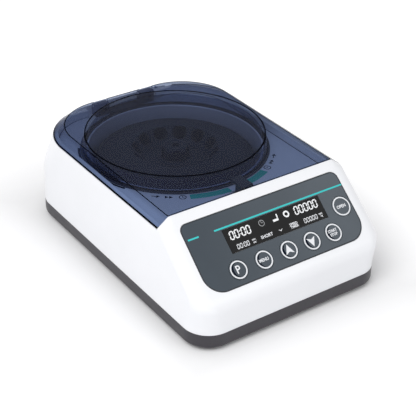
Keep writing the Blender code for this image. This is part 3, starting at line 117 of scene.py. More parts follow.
class LidSettings(bpy.types.PropertyGroup):
    tint: colour("Tint", "Colour of the light that one face lets through", (0.725, 0.782, 0.893))
    body: colour("Body colour", "Colour of the plastic where it hides what is behind", (0.026, 0.028, 0.046))
    # Painted shade: outside the window the plastic turns to this darker, bluer colour towards the rear.
    rear_shade_body: colour("Rear body", "Colour of the plastic at the rear, outside the window", (0.022, 0.034, 0.095))
    # Painted light: the window's wall is given this lighter colour.
    lit_wall_body: colour("Drum body", "Colour of the plastic in the window's wall", (0.075, 0.080, 0.125))
    density: number("Density", "Share of the light that one face stops", 0.20, 0.0, 1.0)
    # Painted shade: outside the window each face stops this much more light towards the rear.
    rear_shade_density: number("Rear density", "Share that a face outside the window stops more at the rear", 0.13, 0.0, 1.0)
    # Painted light: faces of the left chamfer stop less light, so the band there reads lighter.
    lit_chamfer_clear: number("Chamfer clear", "Share that a face of the left chamfer stops less", 0.12, 0.0, 1.0)
    edge: colour("Edge", "Dark glint along the lid's edges", linear(9, 10, 15))
    wall: length("Wall", "Thickness of the lid", 2.2 * MM)
    window_radius: length("Window radius", "Radius of the raised window", 72 * MM)
    window_rise: length("Window rise", "Height of the raised window above the lid", 0.4 * MM)


class PanelSettings(bpy.types.PropertyGroup):
    film: colour("Film", "Slate grey of the printed film at its left", linear(48, 59, 69))
    # Painted light: the film turns to this lighter grey towards its right.
    film_lit_right: colour("Film right", "Slate grey of the printed film at its right", linear(76, 84, 92))
    edge: colour("Edge", "Dark line round the film", linear(30, 36, 44))
    line: colour("Line", "Turquoise line above the display", linear(46, 192, 192))
    glass: colour("Glass", "Display window", linear(18, 18, 19))
    ink: colour("Ink", "White print and lit figures", linear(238, 240, 242))
    dim_ink: colour("Dim ink", "Clock of the display", linear(150, 152, 154))
    key_ink: colour("Key ink", "Print on the keys and small print of the display", linear(230, 232, 236))
    ring_width: length("Ring width", "Width of the white ring round a button", 1.0 * MM)
    figure_height: length("Figure height", "Height of the display's large figures", 5.8 * MM)


class RotorSettings(bpy.types.PropertyGroup):
    black: colour("Black", "Anodised finish of the rotor", linear(24, 24, 29))
    steel: colour("Steel", "Steel of bowl, shaft and fasteners", (0.84, 0.84, 0.93))
    places: IntProperty(name="Places", description="Number of tube places", default=12, min=2, max=24)
    bore: length("Bore", "Radius of a tube place", 5.5 * MM)
    mouth_radius: length("Mouth radius", "Distance of the mouths from the axis", 30.6 * MM)
    place_angle: angle("Place angle", "Tilt of the tube places", 45)
    rest_angle: angle("Rest angle", "Direction of the first place at rest", 50)


class StudioSettings(bpy.types.PropertyGroup):
    azimuth: angle("Azimuth", "Direction of the camera round the object", -35.467)
    elevation: angle("Elevation", "Height of the camera above the horizon", 31.996)
    roll: angle("Roll", "Turn of the camera about its own axis", 1.112)
    distance: length("Distance", "Distance of the camera from the aim", 923.16 * MM)
    aim: FloatVectorProperty(name="Aim", description="Point in the middle of the frame", unit="LENGTH",
                             default=(9.483 * MM, 2.665 * MM, 26.78 * MM), size=3, subtype="TRANSLATION")
    focal: number("Focal length", "Focal length in mm on a 36 mm sensor", 99.356)
    key: number("Key", "Strength of the main soft lamp", 7.5)
    fill: number("Fill", "Strength of the front lamp", 2.0)
    world: number("World", "Strength of the surrounding light", 0.62)
    # Painted shade: the floor's own light beside the object is held this low.
    floor_glow: number("Floor glow", "Light of the floor's own beside the object", 0.0)
    far_glow: number("Far glow", "Light of the floor's own away from the object", 0.35)


def settings(context=None):
    return (context or bpy.context).scene.centrifuge


class CentrifugeSettings(bpy.types.PropertyGroup):
    body: PointerProperty(type=BodySettings, name="Body", description="Housing, tray and deck")
    lid: PointerProperty(type=LidSettings, name="Lid", description="Tinted lid")
    panel: PointerProperty(type=PanelSettings, name="Panel", description="Control panel")
    rotor: PointerProperty(type=RotorSettings, name="Rotor", description="Rotor and metal parts")
    studio: PointerProperty(type=StudioSettings, name="Studio", description="Camera and lamps")


# Finishes

class Wire:
    """A socket in a material's sums: Python's operators add the Math nodes."""

    def __init__(self, finish, socket):
        self.finish = finish
        self.socket = socket

    def sum(self, operation, *values):
        """One Math node on the values, or on this wire alone."""
        return self.finish.node("ShaderNodeMath", {"operation": operation}, dict(enumerate(values or (self,))))

    def __add__(self, other):
        return self.sum("ADD", self, other)

    def __radd__(self, other):
        return self.sum("ADD", other, self)

    def __sub__(self, other):
        return self.sum("SUBTRACT", self, other)

    def __mul__(self, other):
        return self.sum("MULTIPLY", self, other)

    def __pow__(self, other):
        return self.sum("POWER", self, other)

    def __abs__(self):
        return self.sum("ABSOLUTE", self)


class Finish:
    """A material on one Principled shader, built from nodes."""

    def __init__(self, name, slot):
        self.material = bpy.data.materials.new(name)
        self.material.use_nodes = True
        self.material["slot"] = slot
        self.tree = self.material.node_tree
        self.tree.nodes.clear()
        self.output = self.tree.nodes.new("ShaderNodeOutputMaterial")
        self.surface = self.tree.nodes.new("ShaderNodeBsdfPrincipled")
        self.tree.links.new(self.surface.outputs[0], self.output.inputs[0])
        self.place = self.node("ShaderNodeTexCoord", take="Object")

    def node(self, kind, choices=None, values=None, take=0):
        """Adds a node, sets its choices, then its sockets, and gives back one output."""
        node = self.tree.nodes.new(kind)
        for name, value in (choices or {}).items():
            setattr(node, name, value)
        for name, value in (values or {}).items():
            self.feed(node.inputs[name], value)
        return Wire(self, node.outputs[take])

    def feed(self, socket, value):
        if isinstance(value, Wire):
            self.tree.links.new(value.socket, socket)
        elif socket.type == "RGBA":
            socket.default_value = (*value, 1.0)
        else:
            socket.default_value = value

    def set(self, **values):
        """Sets the Principled shader's sockets: base_color feeds Base Color, and so on."""
        for name, value in values.items():
            self.feed(self.surface.inputs[name.replace("_", " ").title().replace("Ior", "IOR")], value)
        return self

    def noise(self, size, detail=2.0, roughness=0.5, stretch=None):
        """Noise with features of one size in metres, from 0 to 1."""
        place = self.place
        if stretch:
            place = self.node("ShaderNodeMapping", None, {"Vector": self.place, "Scale": stretch})
        values = {"Vector": place, "Scale": 1.0 / size, "Detail": detail, "Roughness": roughness}
        return self.node("ShaderNodeTexNoise", None, values)

    def spread(self, value, low, high, to_low=0.0, to_high=1.0):
        """Maps a value from one range to another, and holds it there."""
        values = {"Value": value, "From Min": low, "From Max": high, "To Min": to_low, "To Max": to_high}
        return self.node("ShaderNodeMapRange", {"clamp": True}, values)

    def mix(self, share, first, second):
        return self.node("ShaderNodeMix", {"data_type": "RGBA"}, {0: share, 6: first, 7: second}, take=2)

    def drift(self, cloud, low, high, tone, share):
        """A tone that noise shifts towards a darker or lighter share of itself."""
        return self.mix(self.spread(cloud, low, high), tuple(tone), tuple(v * share for v in tone))

    def axes(self):
        """The three Object coordinates as values."""
        split = self.node("ShaderNodeSeparateXYZ", None, {"Vector": self.place})
        outputs = split.socket.node.outputs
        return [Wire(self, outputs[index]) for index in range(3)]

    def relief(self, height, depth, edge=0.0):
        """Bump of one depth in metres, over edges that look rounded."""
        values = {"Height": height, "Strength": 1.0, "Distance": depth}
        if edge:
            values["Normal"] = self.node("ShaderNodeBevel", {"samples": 6}, {"Radius": edge})
        self.set(normal=self.node("ShaderNodeBump", None, values))
        return self


def moulded(name, slot, tone, roughness, grain=0.35 * MM, depth=0.004 * MM, edge=0.35 * MM, drift=0.06):
    """Moulded plastic: slow drift of tone, handling marks in the gloss and a fine grain."""
    look = Finish(name, slot)
    shade = look.drift(look.noise(38 * MM, 3.0), 0.3, 0.7, tone, 1 - drift)
    marks = look.noise(9 * MM, 5.0, 0.62, (1.0, 0.35, 1.0))
    gloss = look.spread(marks, 0.45, 0.75, roughness, roughness + 0.10)
    look.set(base_color=shade, roughness=gloss)
    return look.relief(look.noise(grain, 2.0), depth, edge)


def white_finish():
    body = settings().body
    look = Finish("white_moulding", "white_plastic")
    height = look.axes()[2]
    shade = look.drift(look.noise(46 * MM, 3.0), 0.3, 0.7, body.white, 0.975)
    low = float(HOUSING_LOW.z)
    # Patchy darkening towards grey over the lowest 2.2 mm of the housing, just above the seam.
    low_edge_darkening = look.spread(height, low, low + 2.2 * MM, 1.0, 0.0) * look.spread(look.noise(5 * MM, 4.0), 0.35, 0.7)
    shade = look.mix(low_edge_darkening * 0.22, shade, (0.52, 0.52, 0.53))
    marks = look.noise(30 * MM, 3.0, 0.5, (0.5, 1.0, 1.0))
    look.set(base_color=shade, roughness=look.spread(marks, 0.42, 0.72, 0.28, 0.32), coat_weight=0.20,
             coat_roughness=0.06)
    return look.relief(look.noise(1.6 * MM, 1.0), 0.0008 * MM, 0.5 * MM).material


def tray_finish():
    return moulded("tray_moulding", "grey_plastic", settings().body.tray, 0.40, 0.45 * MM, 0.018 * MM,
                   edge=0.4 * MM, drift=0.12).material


def rubber_finish():
    return moulded("black_seal", "black_rubber", settings().body.rubber, 0.62, 0.3 * MM, 0.010 * MM,
                   drift=0.25).material


def black_moulding():
    return moulded("black_moulding", "black_plastic", linear(36, 37, 41), 0.38, 0.4 * MM, 0.012 * MM,
                   drift=0.18).material


def lid_finish():
    """Tinted clear plastic: each face stops a share of the light, more edge on and at the rear."""
    lid = settings().lid
    look = Finish("tinted_lid", "tinted_clear")
    marks = look.noise(11 * MM, 5.0, 0.6, (1.0, 0.4, 1.0))
    wipe = look.spread(marks, 0.5, 0.8)
    x, y, z = look.axes()
    spin = spin_centre()
    reach = ((x - spin.x) ** 2.0 + (y - spin.y) ** 2.0) ** 0.5
    around = look.spread(reach, lid.window_radius, lid.window_radius + 1 * MM)
    # Painted shade: rear grows towards the back outside the window, where it darkens, blues and clouds the plastic.
    rear = look.spread(y, -10 * MM, 70 * MM) * around
    # Painted light: the left chamfer is made clearer so that it reads lighter.
    chamfer = look.spread(x, -76 * MM, -74 * MM, 1.0, 0.0)
    shade = look.drift(look.noise(60 * MM, 2.0), 0.3, 0.7, lid.body, 1.25)
    shade = look.mix(rear, shade, tuple(lid.rear_shade_body))
    # Painted light: the window's wall gets the lighter colour below.
    drum_low, drum_high = lid.window_radius + 2.2 * MM, lid.window_radius + 2.6 * MM
    lit_wall = around * look.spread(reach, drum_low, drum_high, 1.0, 0.0)
    lit_wall = lit_wall * look.spread(z, TOP - 1.2 * MM, TOP - 0.6 * MM, 1.0, 0.0)
    shade = look.mix(lit_wall, shade, tuple(lid.lit_wall_body))
    look.set(base_color=shade, roughness=look.spread(marks, 0.45, 0.75, 0.05, 0.11), ior=1.45,
             specular_ior_level=0.12)
    look.relief(look.noise(14 * MM, 1.0), 0.004 * MM, 0.25 * MM)
    clear = look.node("ShaderNodeBsdfTransparent", None, {"Color": tuple(lid.tint)})
    facing = look.node("ShaderNodeLayerWeight", None, {"Blend": 0.5}, take="Facing")
    edge_on = look.spread(facing ** 6.0, 0.0, 1.0, 0.0, 0.80)
    share = lid.density + rear * lid.rear_shade_density - chamfer * lid.lit_chamfer_clear + edge_on + wipe * 0.015
    plastic = Wire(look, look.surface.outputs[0])
    mixed = look.node("ShaderNodeMixShader", None, {0: share, 1: clear, 2: plastic})
    look.tree.links.new(mixed.socket, look.output.inputs[0])
    return look.material


def film_finish():
    """The panel's printed film: slate with a fine texture, darker towards its printed edge."""
    panel = settings().panel
    look = Finish("panel_film", "slate_film")
    # Painted light: the film grows lighter from left to right.
    lit_share = look.spread(look.axes()[0], -60 * MM, 60 * MM)
    shade = look.mix(lit_share, tuple(panel.film), tuple(panel.film_lit_right))
    shade = look.mix(look.spread(look.noise(24 * MM, 3.0), 0.3, 0.7, 0.0, 0.1), shade, (0.0, 0.0, 0.0))
    tilt = settings().body.panel_tilt
    values = {"Vector": look.place, "Rotation": (-tilt, 0, 0)}
    turned_place = look.node("ShaderNodeMapping", {"vector_type": "POINT"}, values)
    weave = look.node("ShaderNodeTexVoronoi", None, {"Vector": turned_place, "Scale": 1 / (0.30 * MM)})
    look.set(base_color=shade, roughness=look.spread(look.noise(6 * MM, 5.0), 0.4, 0.7, 0.34, 0.46))
    return look.relief(weave, 0.006 * MM, 0.2 * MM).material


def ink_finish(name, tone, slot="slate_film", glow=0.0, gloss=0.5):
    """Screen printed ink, slightly uneven."""
    look = Finish(name, slot)
    grain = look.noise(0.5 * MM, 3.0)
    shade = look.drift(grain, 0.35, 0.7, tone, 0.88)
    look.set(base_color=shade, roughness=look.spread(grain, 0.3, 0.7, 0.30, 0.42), specular_ior_level=gloss)
    if glow:
        look.set(emission_color=shade, emission_strength=glow)
    return look.relief(grain, 0.003 * MM).material


def glass_finish():
    look = Finish("display_glass", "display_black")
    shade = look.drift(look.noise(30 * MM, 2.0), 0.3, 0.7, settings().panel.glass, 0.8)
    smear = look.noise(8 * MM, 5.0, 0.6, (0.4, 1.0, 1.0))
    look.set(base_color=shade, roughness=look.spread(smear, 0.45, 0.75, 0.12, 0.22), specular_ior_level=0.25)
    return look.relief(smear, 0.002 * MM, 0.2 * MM).material


def rotor_finish():
    """Black anodised aluminium with the fine rings of the lathe."""
    look = Finish("rotor_anodised", "rotor_black")
    x, y, z = look.axes()
    spin = spin_centre()
    reach = ((x - spin.x) ** 2.0 + (y - spin.y) ** 2.0).sum("SQRT")
    rings = ((reach + z * 0.7) * (2 * math.pi / (1.3 * MM))).sum("SINE")
    shade = look.drift(look.noise(16 * MM, 4.0), 0.35, 0.7, settings().rotor.black, 0.75)
    gloss = look.spread(look.noise(20 * MM, 2.0), 0.4, 0.7, 0.56, 0.62)
    look.set(base_color=shade, metallic=0.05, roughness=gloss)
    return look.relief(rings, 0.0004 * MM, 0.35 * MM).material


def steel_finish(name="brushed_steel", brushed=True):
    """Steel, brushed round the spin axis where it is turned."""
    look = Finish(name, "bare_steel")
    hair = look.noise(2.4 * MM, 6.0, 0.7, (1.0, 1.0, 12.0 if brushed else 1.0))
    shade = look.drift(hair, 0.35, 0.65, settings().rotor.steel, 0.82)
    look.set(base_color=shade, metallic=0.6, roughness=look.spread(hair, 0.35, 0.65, 0.36, 0.44))
    return look.relief(hair, 0.003 * MM, 0.2 * MM).material


def board_finish():
    look = Finish("board_mask", "green_board")
    cells = look.node("ShaderNodeTexVoronoi", {"feature": "DISTANCE_TO_EDGE"},
                      {"Vector": look.place, "Scale": 1 / (5 * MM)})
    track = look.spread(cells, 0.02, 0.05, 1.0, 0.0)
    shade = look.mix(track, (0.015, 0.13, 0.06), (0.05, 0.26, 0.12))
    look.set(base_color=shade, roughness=look.spread(look.noise(3 * MM), 0.3, 0.7, 0.32, 0.48))
    return look.relief(track, 0.03 * MM, 0.2 * MM).material


FINISHES = {}


def finish(name):
    """Each finish is made once."""
    body, lid, panel = settings().body, settings().lid, settings().panel
    makers = {
        "white": white_finish,
        "tray": tray_finish,
        "rubber": rubber_finish,
        "black": black_moulding,
        "lid": lid_finish,
        "film": film_finish,
        "glass": glass_finish,
        "rotor": rotor_finish,
        "steel": steel_finish,
        "plain_steel": lambda: steel_finish("plain_steel", False),
        "board": board_finish,
        "ink": lambda: ink_finish("white_ink", panel.ink, glow=0.12),
        "dim_ink": lambda: ink_finish("dim_ink", panel.dim_ink, glow=0.05),
        # Painted light: the printed turquoise line gets a faint glow.
        "line": lambda: ink_finish("line_ink", panel.line, glow=0.05),
        "edge": lambda: ink_finish("edge_ink", panel.edge),
        "teal": lambda: ink_finish("teal_label", body.deck_label, "white_plastic"),
        # Dark ink of the deck's signs, also the paint of the painted shadows on the deck.
        "dark_ink_and_shade": lambda: ink_finish("dark_ink_and_shade", linear(12, 13, 17), "white_plastic", gloss=0.1),
        # Painted light: the print on the keys gets a faint glow; the display's second row uses the same ink.
        "key_ink": lambda: ink_finish("key_ink", panel.key_ink, glow=0.04),
        "key_shade": lambda: ink_finish("key_shade", linear(22, 30, 42), gloss=0.0),
        "lid_edge": lambda: ink_finish("lid_edge", lid.edge, "tinted_clear", gloss=0.0),
        "hinge": lambda: moulded("hinge_moulding", "black_plastic", linear(76, 78, 92), 0.45).material,
        "seal": lambda: moulded("seal", "black_rubber", linear(52, 53, 60), 0.6, 0.3 * MM,
                                0.008 * MM).material,
    }
    if name not in FINISHES:
        FINISHES[name] = makers[name]()
    return FINISHES[name]


# Meshes

def spin_centre():
    low, high = BOWL_LOW, BOWL_HIGH
    return Vector(((low.x + high.x) / 2, (low.y + high.y) / 2, 0))


def add_piece(name, mesh, look=None, matrix=None):
    item = bpy.data.objects.new(name, mesh)
    bpy.context.scene.collection.objects.link(item)
    if matrix is not None:
        item.matrix_world = matrix
    if look:
        mesh.materials.clear()
        mesh.materials.append(finish(look))
    return item


def outward(shape):
    bmesh.ops.recalc_face_normals(shape, faces=shape.faces)
    return shape


def mesh_of(name, shape):
    mesh = bpy.data.meshes.new(name)
    shape.to_mesh(mesh)
    shape.free()
    return mesh


def from_shape(name, shape, look=None, matrix=None):
    return add_piece(name, mesh_of(name, shape), look, matrix)


def settle(item, degrees=35, weighted=True):
    """Turns what the modifiers show into the piece's own mesh, placed and smoothly shaded."""
    bpy.context.view_layer.update()
    graph = bpy.context.evaluated_depsgraph_get()
    mesh = bpy.data.meshes.new_from_object(item.evaluated_get(graph), depsgraph=graph)
    mesh.transform(item.matrix_world)
    item.modifiers.clear()
    item.matrix_world = Matrix.Identity(4)
    item.data = mesh
    mesh.shade_smooth()
    mesh.set_sharp_from_angle(angle=math.radians(degrees))
    if weighted:
        even = item.modifiers.new("even_normals", "WEIGHTED_NORMAL")
        even.keep_sharp = True
        even.weight = 100
    return item


def drop(*items):
    for item in items:
        bpy.data.objects.remove(item, do_unlink=True)


def combine(item, others, operation="DIFFERENCE"):
    """Cuts or joins with each of the others in turn."""
    for other in others:
        step = item.modifiers.new(operation.lower(), "BOOLEAN")
        step.operation = operation
        step.solver = "EXACT"
        step.object = other
        other.hide_render = True
    return item


def give(item, body, look_slot, *nodes):
    """Hands a finished piece to its body, in place of the CAD nodes that it stands for."""
    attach(item, body)
    if nodes:
        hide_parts(*nodes)
    return item


def lay(item, look_slot, body="body"):
    """Settles a thin printed or inlaid piece and hands it to its body."""
    return give(settle(item, weighted=False), body, look_slot)


def box(name, low, high, matrix=None):
    low, high = Vector(low), Vector(high)
    shape = bmesh.new()
    bmesh.ops.create_cube(shape, size=1.0)
    place = Matrix.Translation((low + high) / 2) @ Matrix.Diagonal((*(high - low), 1.0))
    bmesh.ops.transform(shape, matrix=place, verts=shape.verts)
    return from_shape(name, shape, None, matrix)


def bar(name, radius, low, high, matrix=None, steps=48):
    shape = bmesh.new()
    bmesh.ops.create_cone(shape, cap_ends=True, segments=steps, radius1=radius, radius2=radius,
                          depth=high - low, matrix=Matrix.Translation((0, 0, (low + high) / 2)))
    return from_shape(name, shape, None, matrix)


def loft(name, rings, look=None):
    shape = bmesh.new()
    rows = [[shape.verts.new(point) for point in ring] for ring in rings]
    count = len(rows[0])
    for lower, upper in zip(rows, rows[1:]):
        for step in range(count):
            after = (step + 1) % count
            shape.faces.new((lower[step], lower[after], upper[after], upper[step]))
    shape.faces.new(list(reversed(rows[0])))
    shape.faces.new(rows[-1])
    return from_shape(name, shape, look)


def turned(name, profile, look=None, centre=None, steps=160):
    """A turned piece from (radius, height) points down its outer side."""
    shape = bmesh.new()
    verts = [shape.verts.new((radius, 0, height)) for radius, height in profile]
    edges = [shape.edges.new(pair) for pair in zip(verts, verts[1:])]
    if profile[0][0] > 0:
        edges.append(shape.edges.new((verts[-1], verts[0])))
    bmesh.ops.spin(shape, geom=verts + edges, axis=(0, 0, 1), cent=(0, 0, 0), angle=2 * math.pi,
                   steps=steps, use_merge=True)
    bmesh.ops.remove_doubles(shape, verts=shape.verts, dist=0.001 * MM)
    place = Matrix.Translation(spin_centre() if centre is None else centre)
    return from_shape(name, outward(shape), look, place)


def rounded(corners, steps=10):
    """An outline through corners (x, y, radius), given anticlockwise."""
    outline = []
    for index, (x, y, radius) in enumerate(corners):
        corner = Vector((x, y))
        before = (Vector(corners[index - 1][:2]) - corner).normalized()
        after = (Vector(corners[(index + 1) % len(corners)][:2]) - corner).normalized()
        half = before.angle(after) / 2
        middle = corner + (before + after).normalized() * radius / math.sin(half)
        start = corner + before * radius / math.tan(half) - middle
        for step in range(steps + 1):
            outline.append(middle + Matrix.Rotation((math.pi - 2 * half) * step / steps, 2) @ start)
    return outline


def prism(shape, outline, low, high):
    """Adds a flat plate with a convex or plain outline to a shape."""
    bottom = [shape.verts.new((point[0], point[1], low)) for point in outline]
    top = [shape.verts.new((point[0], point[1], high)) for point in outline]
    count = len(outline)
    for step in range(count):
        after = (step + 1) % count
        shape.faces.new((bottom[step], bottom[after], top[after], top[step]))
    shape.faces.new(list(reversed(bottom)))
    shape.faces.new(top)


def plates(name, outlines, low, high, look=None, matrix=None):
    shape = bmesh.new()
    for outline in outlines:
        prism(shape, outline, low, high)
    return from_shape(name, outward(shape), look, matrix)


def skin(shape, rows, whole=False):
    """Joins rows of four vertices with faces, closed to a ring or capped at both ends."""
    for index in range(len(rows) if whole else len(rows) - 1):
        first, second = rows[index], rows[(index + 1) % len(rows)]
        for side in range(4):
            after = (side + 1) % 4
            shape.faces.new((first[side], second[side], second[after], first[after]))
    if not whole:
        shape.faces.new(rows[0])
        shape.faces.new(list(reversed(rows[-1])))


def band(shape, centre, inner, outer, low, high, start=0.0, end=2 * math.pi, steps=48):
    """Adds a flat ring, or a part of one, to a shape."""
    whole = abs(end - start - 2 * math.pi) < 1e-6
    rows = []
    for step in range(steps + (0 if whole else 1)):
        turn = start + (end - start) * step / steps
        along = Vector((math.cos(turn), math.sin(turn), 0))
        rows.append([shape.verts.new(centre + along * radius + Vector((0, 0, height)))
                     for radius, height in ((inner, low), (outer, low), (outer, high), (inner, high))])
    skin(shape, rows, whole)


def hoop(name, rings, look=None, matrix=None):
    """A closed band whose section runs through rings of as many points."""
    shape = bmesh.new()
    rows = [[shape.verts.new(point) for point in ring] for ring in rings]
    count = len(rows[0])
    for side, first in enumerate(rows):
        second = rows[(side + 1) % len(rows)]
        for step in range(count):
            after = (step + 1) % count
            shape.faces.new((first[step], first[after], second[after], second[step]))
    return from_shape(name, outward(shape), look, matrix)


def words(name, text, height, place, thickness, width_share=1.0, weight=0.0):
    """Plain lettering as a thin mesh, centred on a place given by a matrix."""
    curve = bpy.data.curves.new(name, "FONT")
    curve.body = text
    curve.size = height
    curve.align_x = "CENTER"
    curve.align_y = "CENTER"
    curve.extrude = thickness / 2
    curve.offset = weight
    curve.resolution_u = 3
    written = bpy.data.objects.new(name + "_text", curve)
    bpy.context.scene.collection.objects.link(written)
    bpy.context.view_layer.update()
    mesh = bpy.data.meshes.new_from_object(written.evaluated_get(bpy.context.evaluated_depsgraph_get()))
    drop(written)
    mesh.transform(place @ Matrix.Diagonal((width_share, 1.0, 1.0, 1.0)))
    return mesh


def join(name, meshes, look):
    """Puts meshes together in one piece."""
    shape = bmesh.new()
    for mesh in meshes:
        shape.from_mesh(mesh)
    bmesh.ops.remove_doubles(shape, verts=shape.verts, dist=0.002 * MM)
    return from_shape(name, outward(shape), look)


# Geometry node trees

def tree_with(name, sockets):
    """A new tree with named inputs, given as (name, socket type, default)."""
    tree = bpy.data.node_groups.new(name, "GeometryNodeTree")
    tree.interface.new_socket("Geometry", in_out="INPUT", socket_type="NodeSocketGeometry")
    for label, kind, default in sockets:
        socket = tree.interface.new_socket(label, in_out="INPUT", socket_type=kind)
        if default is not None:
            socket.default_value = default
    tree.interface.new_socket("Geometry", in_out="OUTPUT", socket_type="NodeSocketGeometry")
    return tree, tree.nodes.new("NodeGroupInput"), tree.nodes.new("NodeGroupOutput")


def tree_node(tree, kind, choices=None, values=None):
    node = tree.nodes.new(kind)
    for name, value in (choices or {}).items():
        setattr(node, name, value)
    for name, value in (values or {}).items():
        if isinstance(value, bpy.types.NodeSocket):
            tree.links.new(value, node.inputs[name])
        else:
            node.inputs[name].default_value = value
    return node


def tree_math(tree, operation, *values):
    return tree_node(tree, "ShaderNodeMath", {"operation": operation}, dict(enumerate(values))).outputs[0]


def end_tree(tree, instances, given, output):
    """Every tree ends in real geometry with a finish."""
    real = tree_node(tree, "GeometryNodeRealizeInstances", None, {"Geometry": instances})
    painted = tree_node(tree, "GeometryNodeSetMaterial", None,
                        {"Geometry": real.outputs[0], "Material": given.outputs["Finish"]})
    tree.links.new(painted.outputs[0], output.inputs[0])
    return tree


def ring_tree():
    """Copies of a piece turned round the local Z axis."""
    tree, given, output = tree_with("ring_of_copies", [
        ("Count", "NodeSocketInt", 12), ("Start angle", "NodeSocketFloat", 0.0),
        ("Finish", "NodeSocketMaterial", None)])
    points = tree_node(tree, "GeometryNodePoints", None, {"Count": given.outputs["Count"]})
    index = tree_node(tree, "GeometryNodeInputIndex")
    step = tree_math(tree, "DIVIDE", 2 * math.pi, given.outputs["Count"])
    turn = tree_math(tree, "MULTIPLY_ADD", index.outputs[0], step, given.outputs["Start angle"])
    facing = tree_node(tree, "ShaderNodeCombineXYZ", None, {"Z": turn})
    copies = tree_node(tree, "GeometryNodeInstanceOnPoints", None, {
        "Points": points.outputs[0], "Instance": given.outputs["Geometry"], "Rotation": facing.outputs[0]})
    return end_tree(tree, copies.outputs[0], given, output)


def row_tree():
    """Copies of a piece in a straight row, centred on the piece."""
    tree, given, output = tree_with("row_of_copies", [
        ("Count", "NodeSocketInt", 7), ("Step", "NodeSocketVector", (0.006, 0.0, 0.0)),
        ("Finish", "NodeSocketMaterial", None)])
    index = tree_node(tree, "GeometryNodeInputIndex")
    last = tree_math(tree, "SUBTRACT", given.outputs["Count"], 1.0)
    share = tree_math(tree, "SUBTRACT", index.outputs[0], tree_math(tree, "MULTIPLY", last, 0.5))
    place = tree_node(tree, "ShaderNodeVectorMath", {"operation": "SCALE"},
                      {0: given.outputs["Step"], "Scale": share})
    points = tree_node(tree, "GeometryNodePoints", None,
                       {"Count": given.outputs["Count"], "Position": place.outputs[0]})
    copies = tree_node(tree, "GeometryNodeInstanceOnPoints", None,
                       {"Points": points.outputs[0], "Instance": given.outputs["Geometry"]})
    return end_tree(tree, copies.outputs[0], given, output)


def point_tree():
    """Copies of a piece at the points of the carrying mesh."""
    tree, given, output = tree_with("copies_at_points", [
        ("Piece", "NodeSocketObject", None), ("Finish", "NodeSocketMaterial", None)])
    piece = tree_node(tree, "GeometryNodeObjectInfo", None, {"Object": given.outputs["Piece"]})
    copies = tree_node(tree, "GeometryNodeInstanceOnPoints", None,
                       {"Points": given.outputs["Geometry"], "Instance": piece.outputs["Geometry"]})
    return end_tree(tree, copies.outputs[0], given, output)


def repeat(item, tree, look, **inputs):
    """Runs a tree on a piece and keeps the result as its plain mesh."""
    step = item.modifiers.new(tree.name, "NODES")
    step.node_group = tree
    values = {name.replace("_", " ").capitalize(): value for name, value in inputs.items()}
    values["Finish"] = finish(look) if look else None
    for socket in tree.interface.items_tree:
        if socket.item_type == "SOCKET" and socket.in_out == "INPUT" and socket.name in values:
            step[socket.identifier] = values[socket.name]
    item.update_tag()
    return settle(item, weighted=False)


# The body's form

def smooth_step(share):
    share = min(max(share, 0.0), 1.0)
    return share * share * (3 - 2 * share)


def between(first, second, share):
    return first + (second - first) * share


def arc(centre_y, centre_z, radius, start, end, steps=12):
    turns = [between(start, end, step / steps) for step in range(steps + 1)]
    return [(centre_y + radius * math.cos(a), centre_z + radius * math.sin(a)) for a in turns]


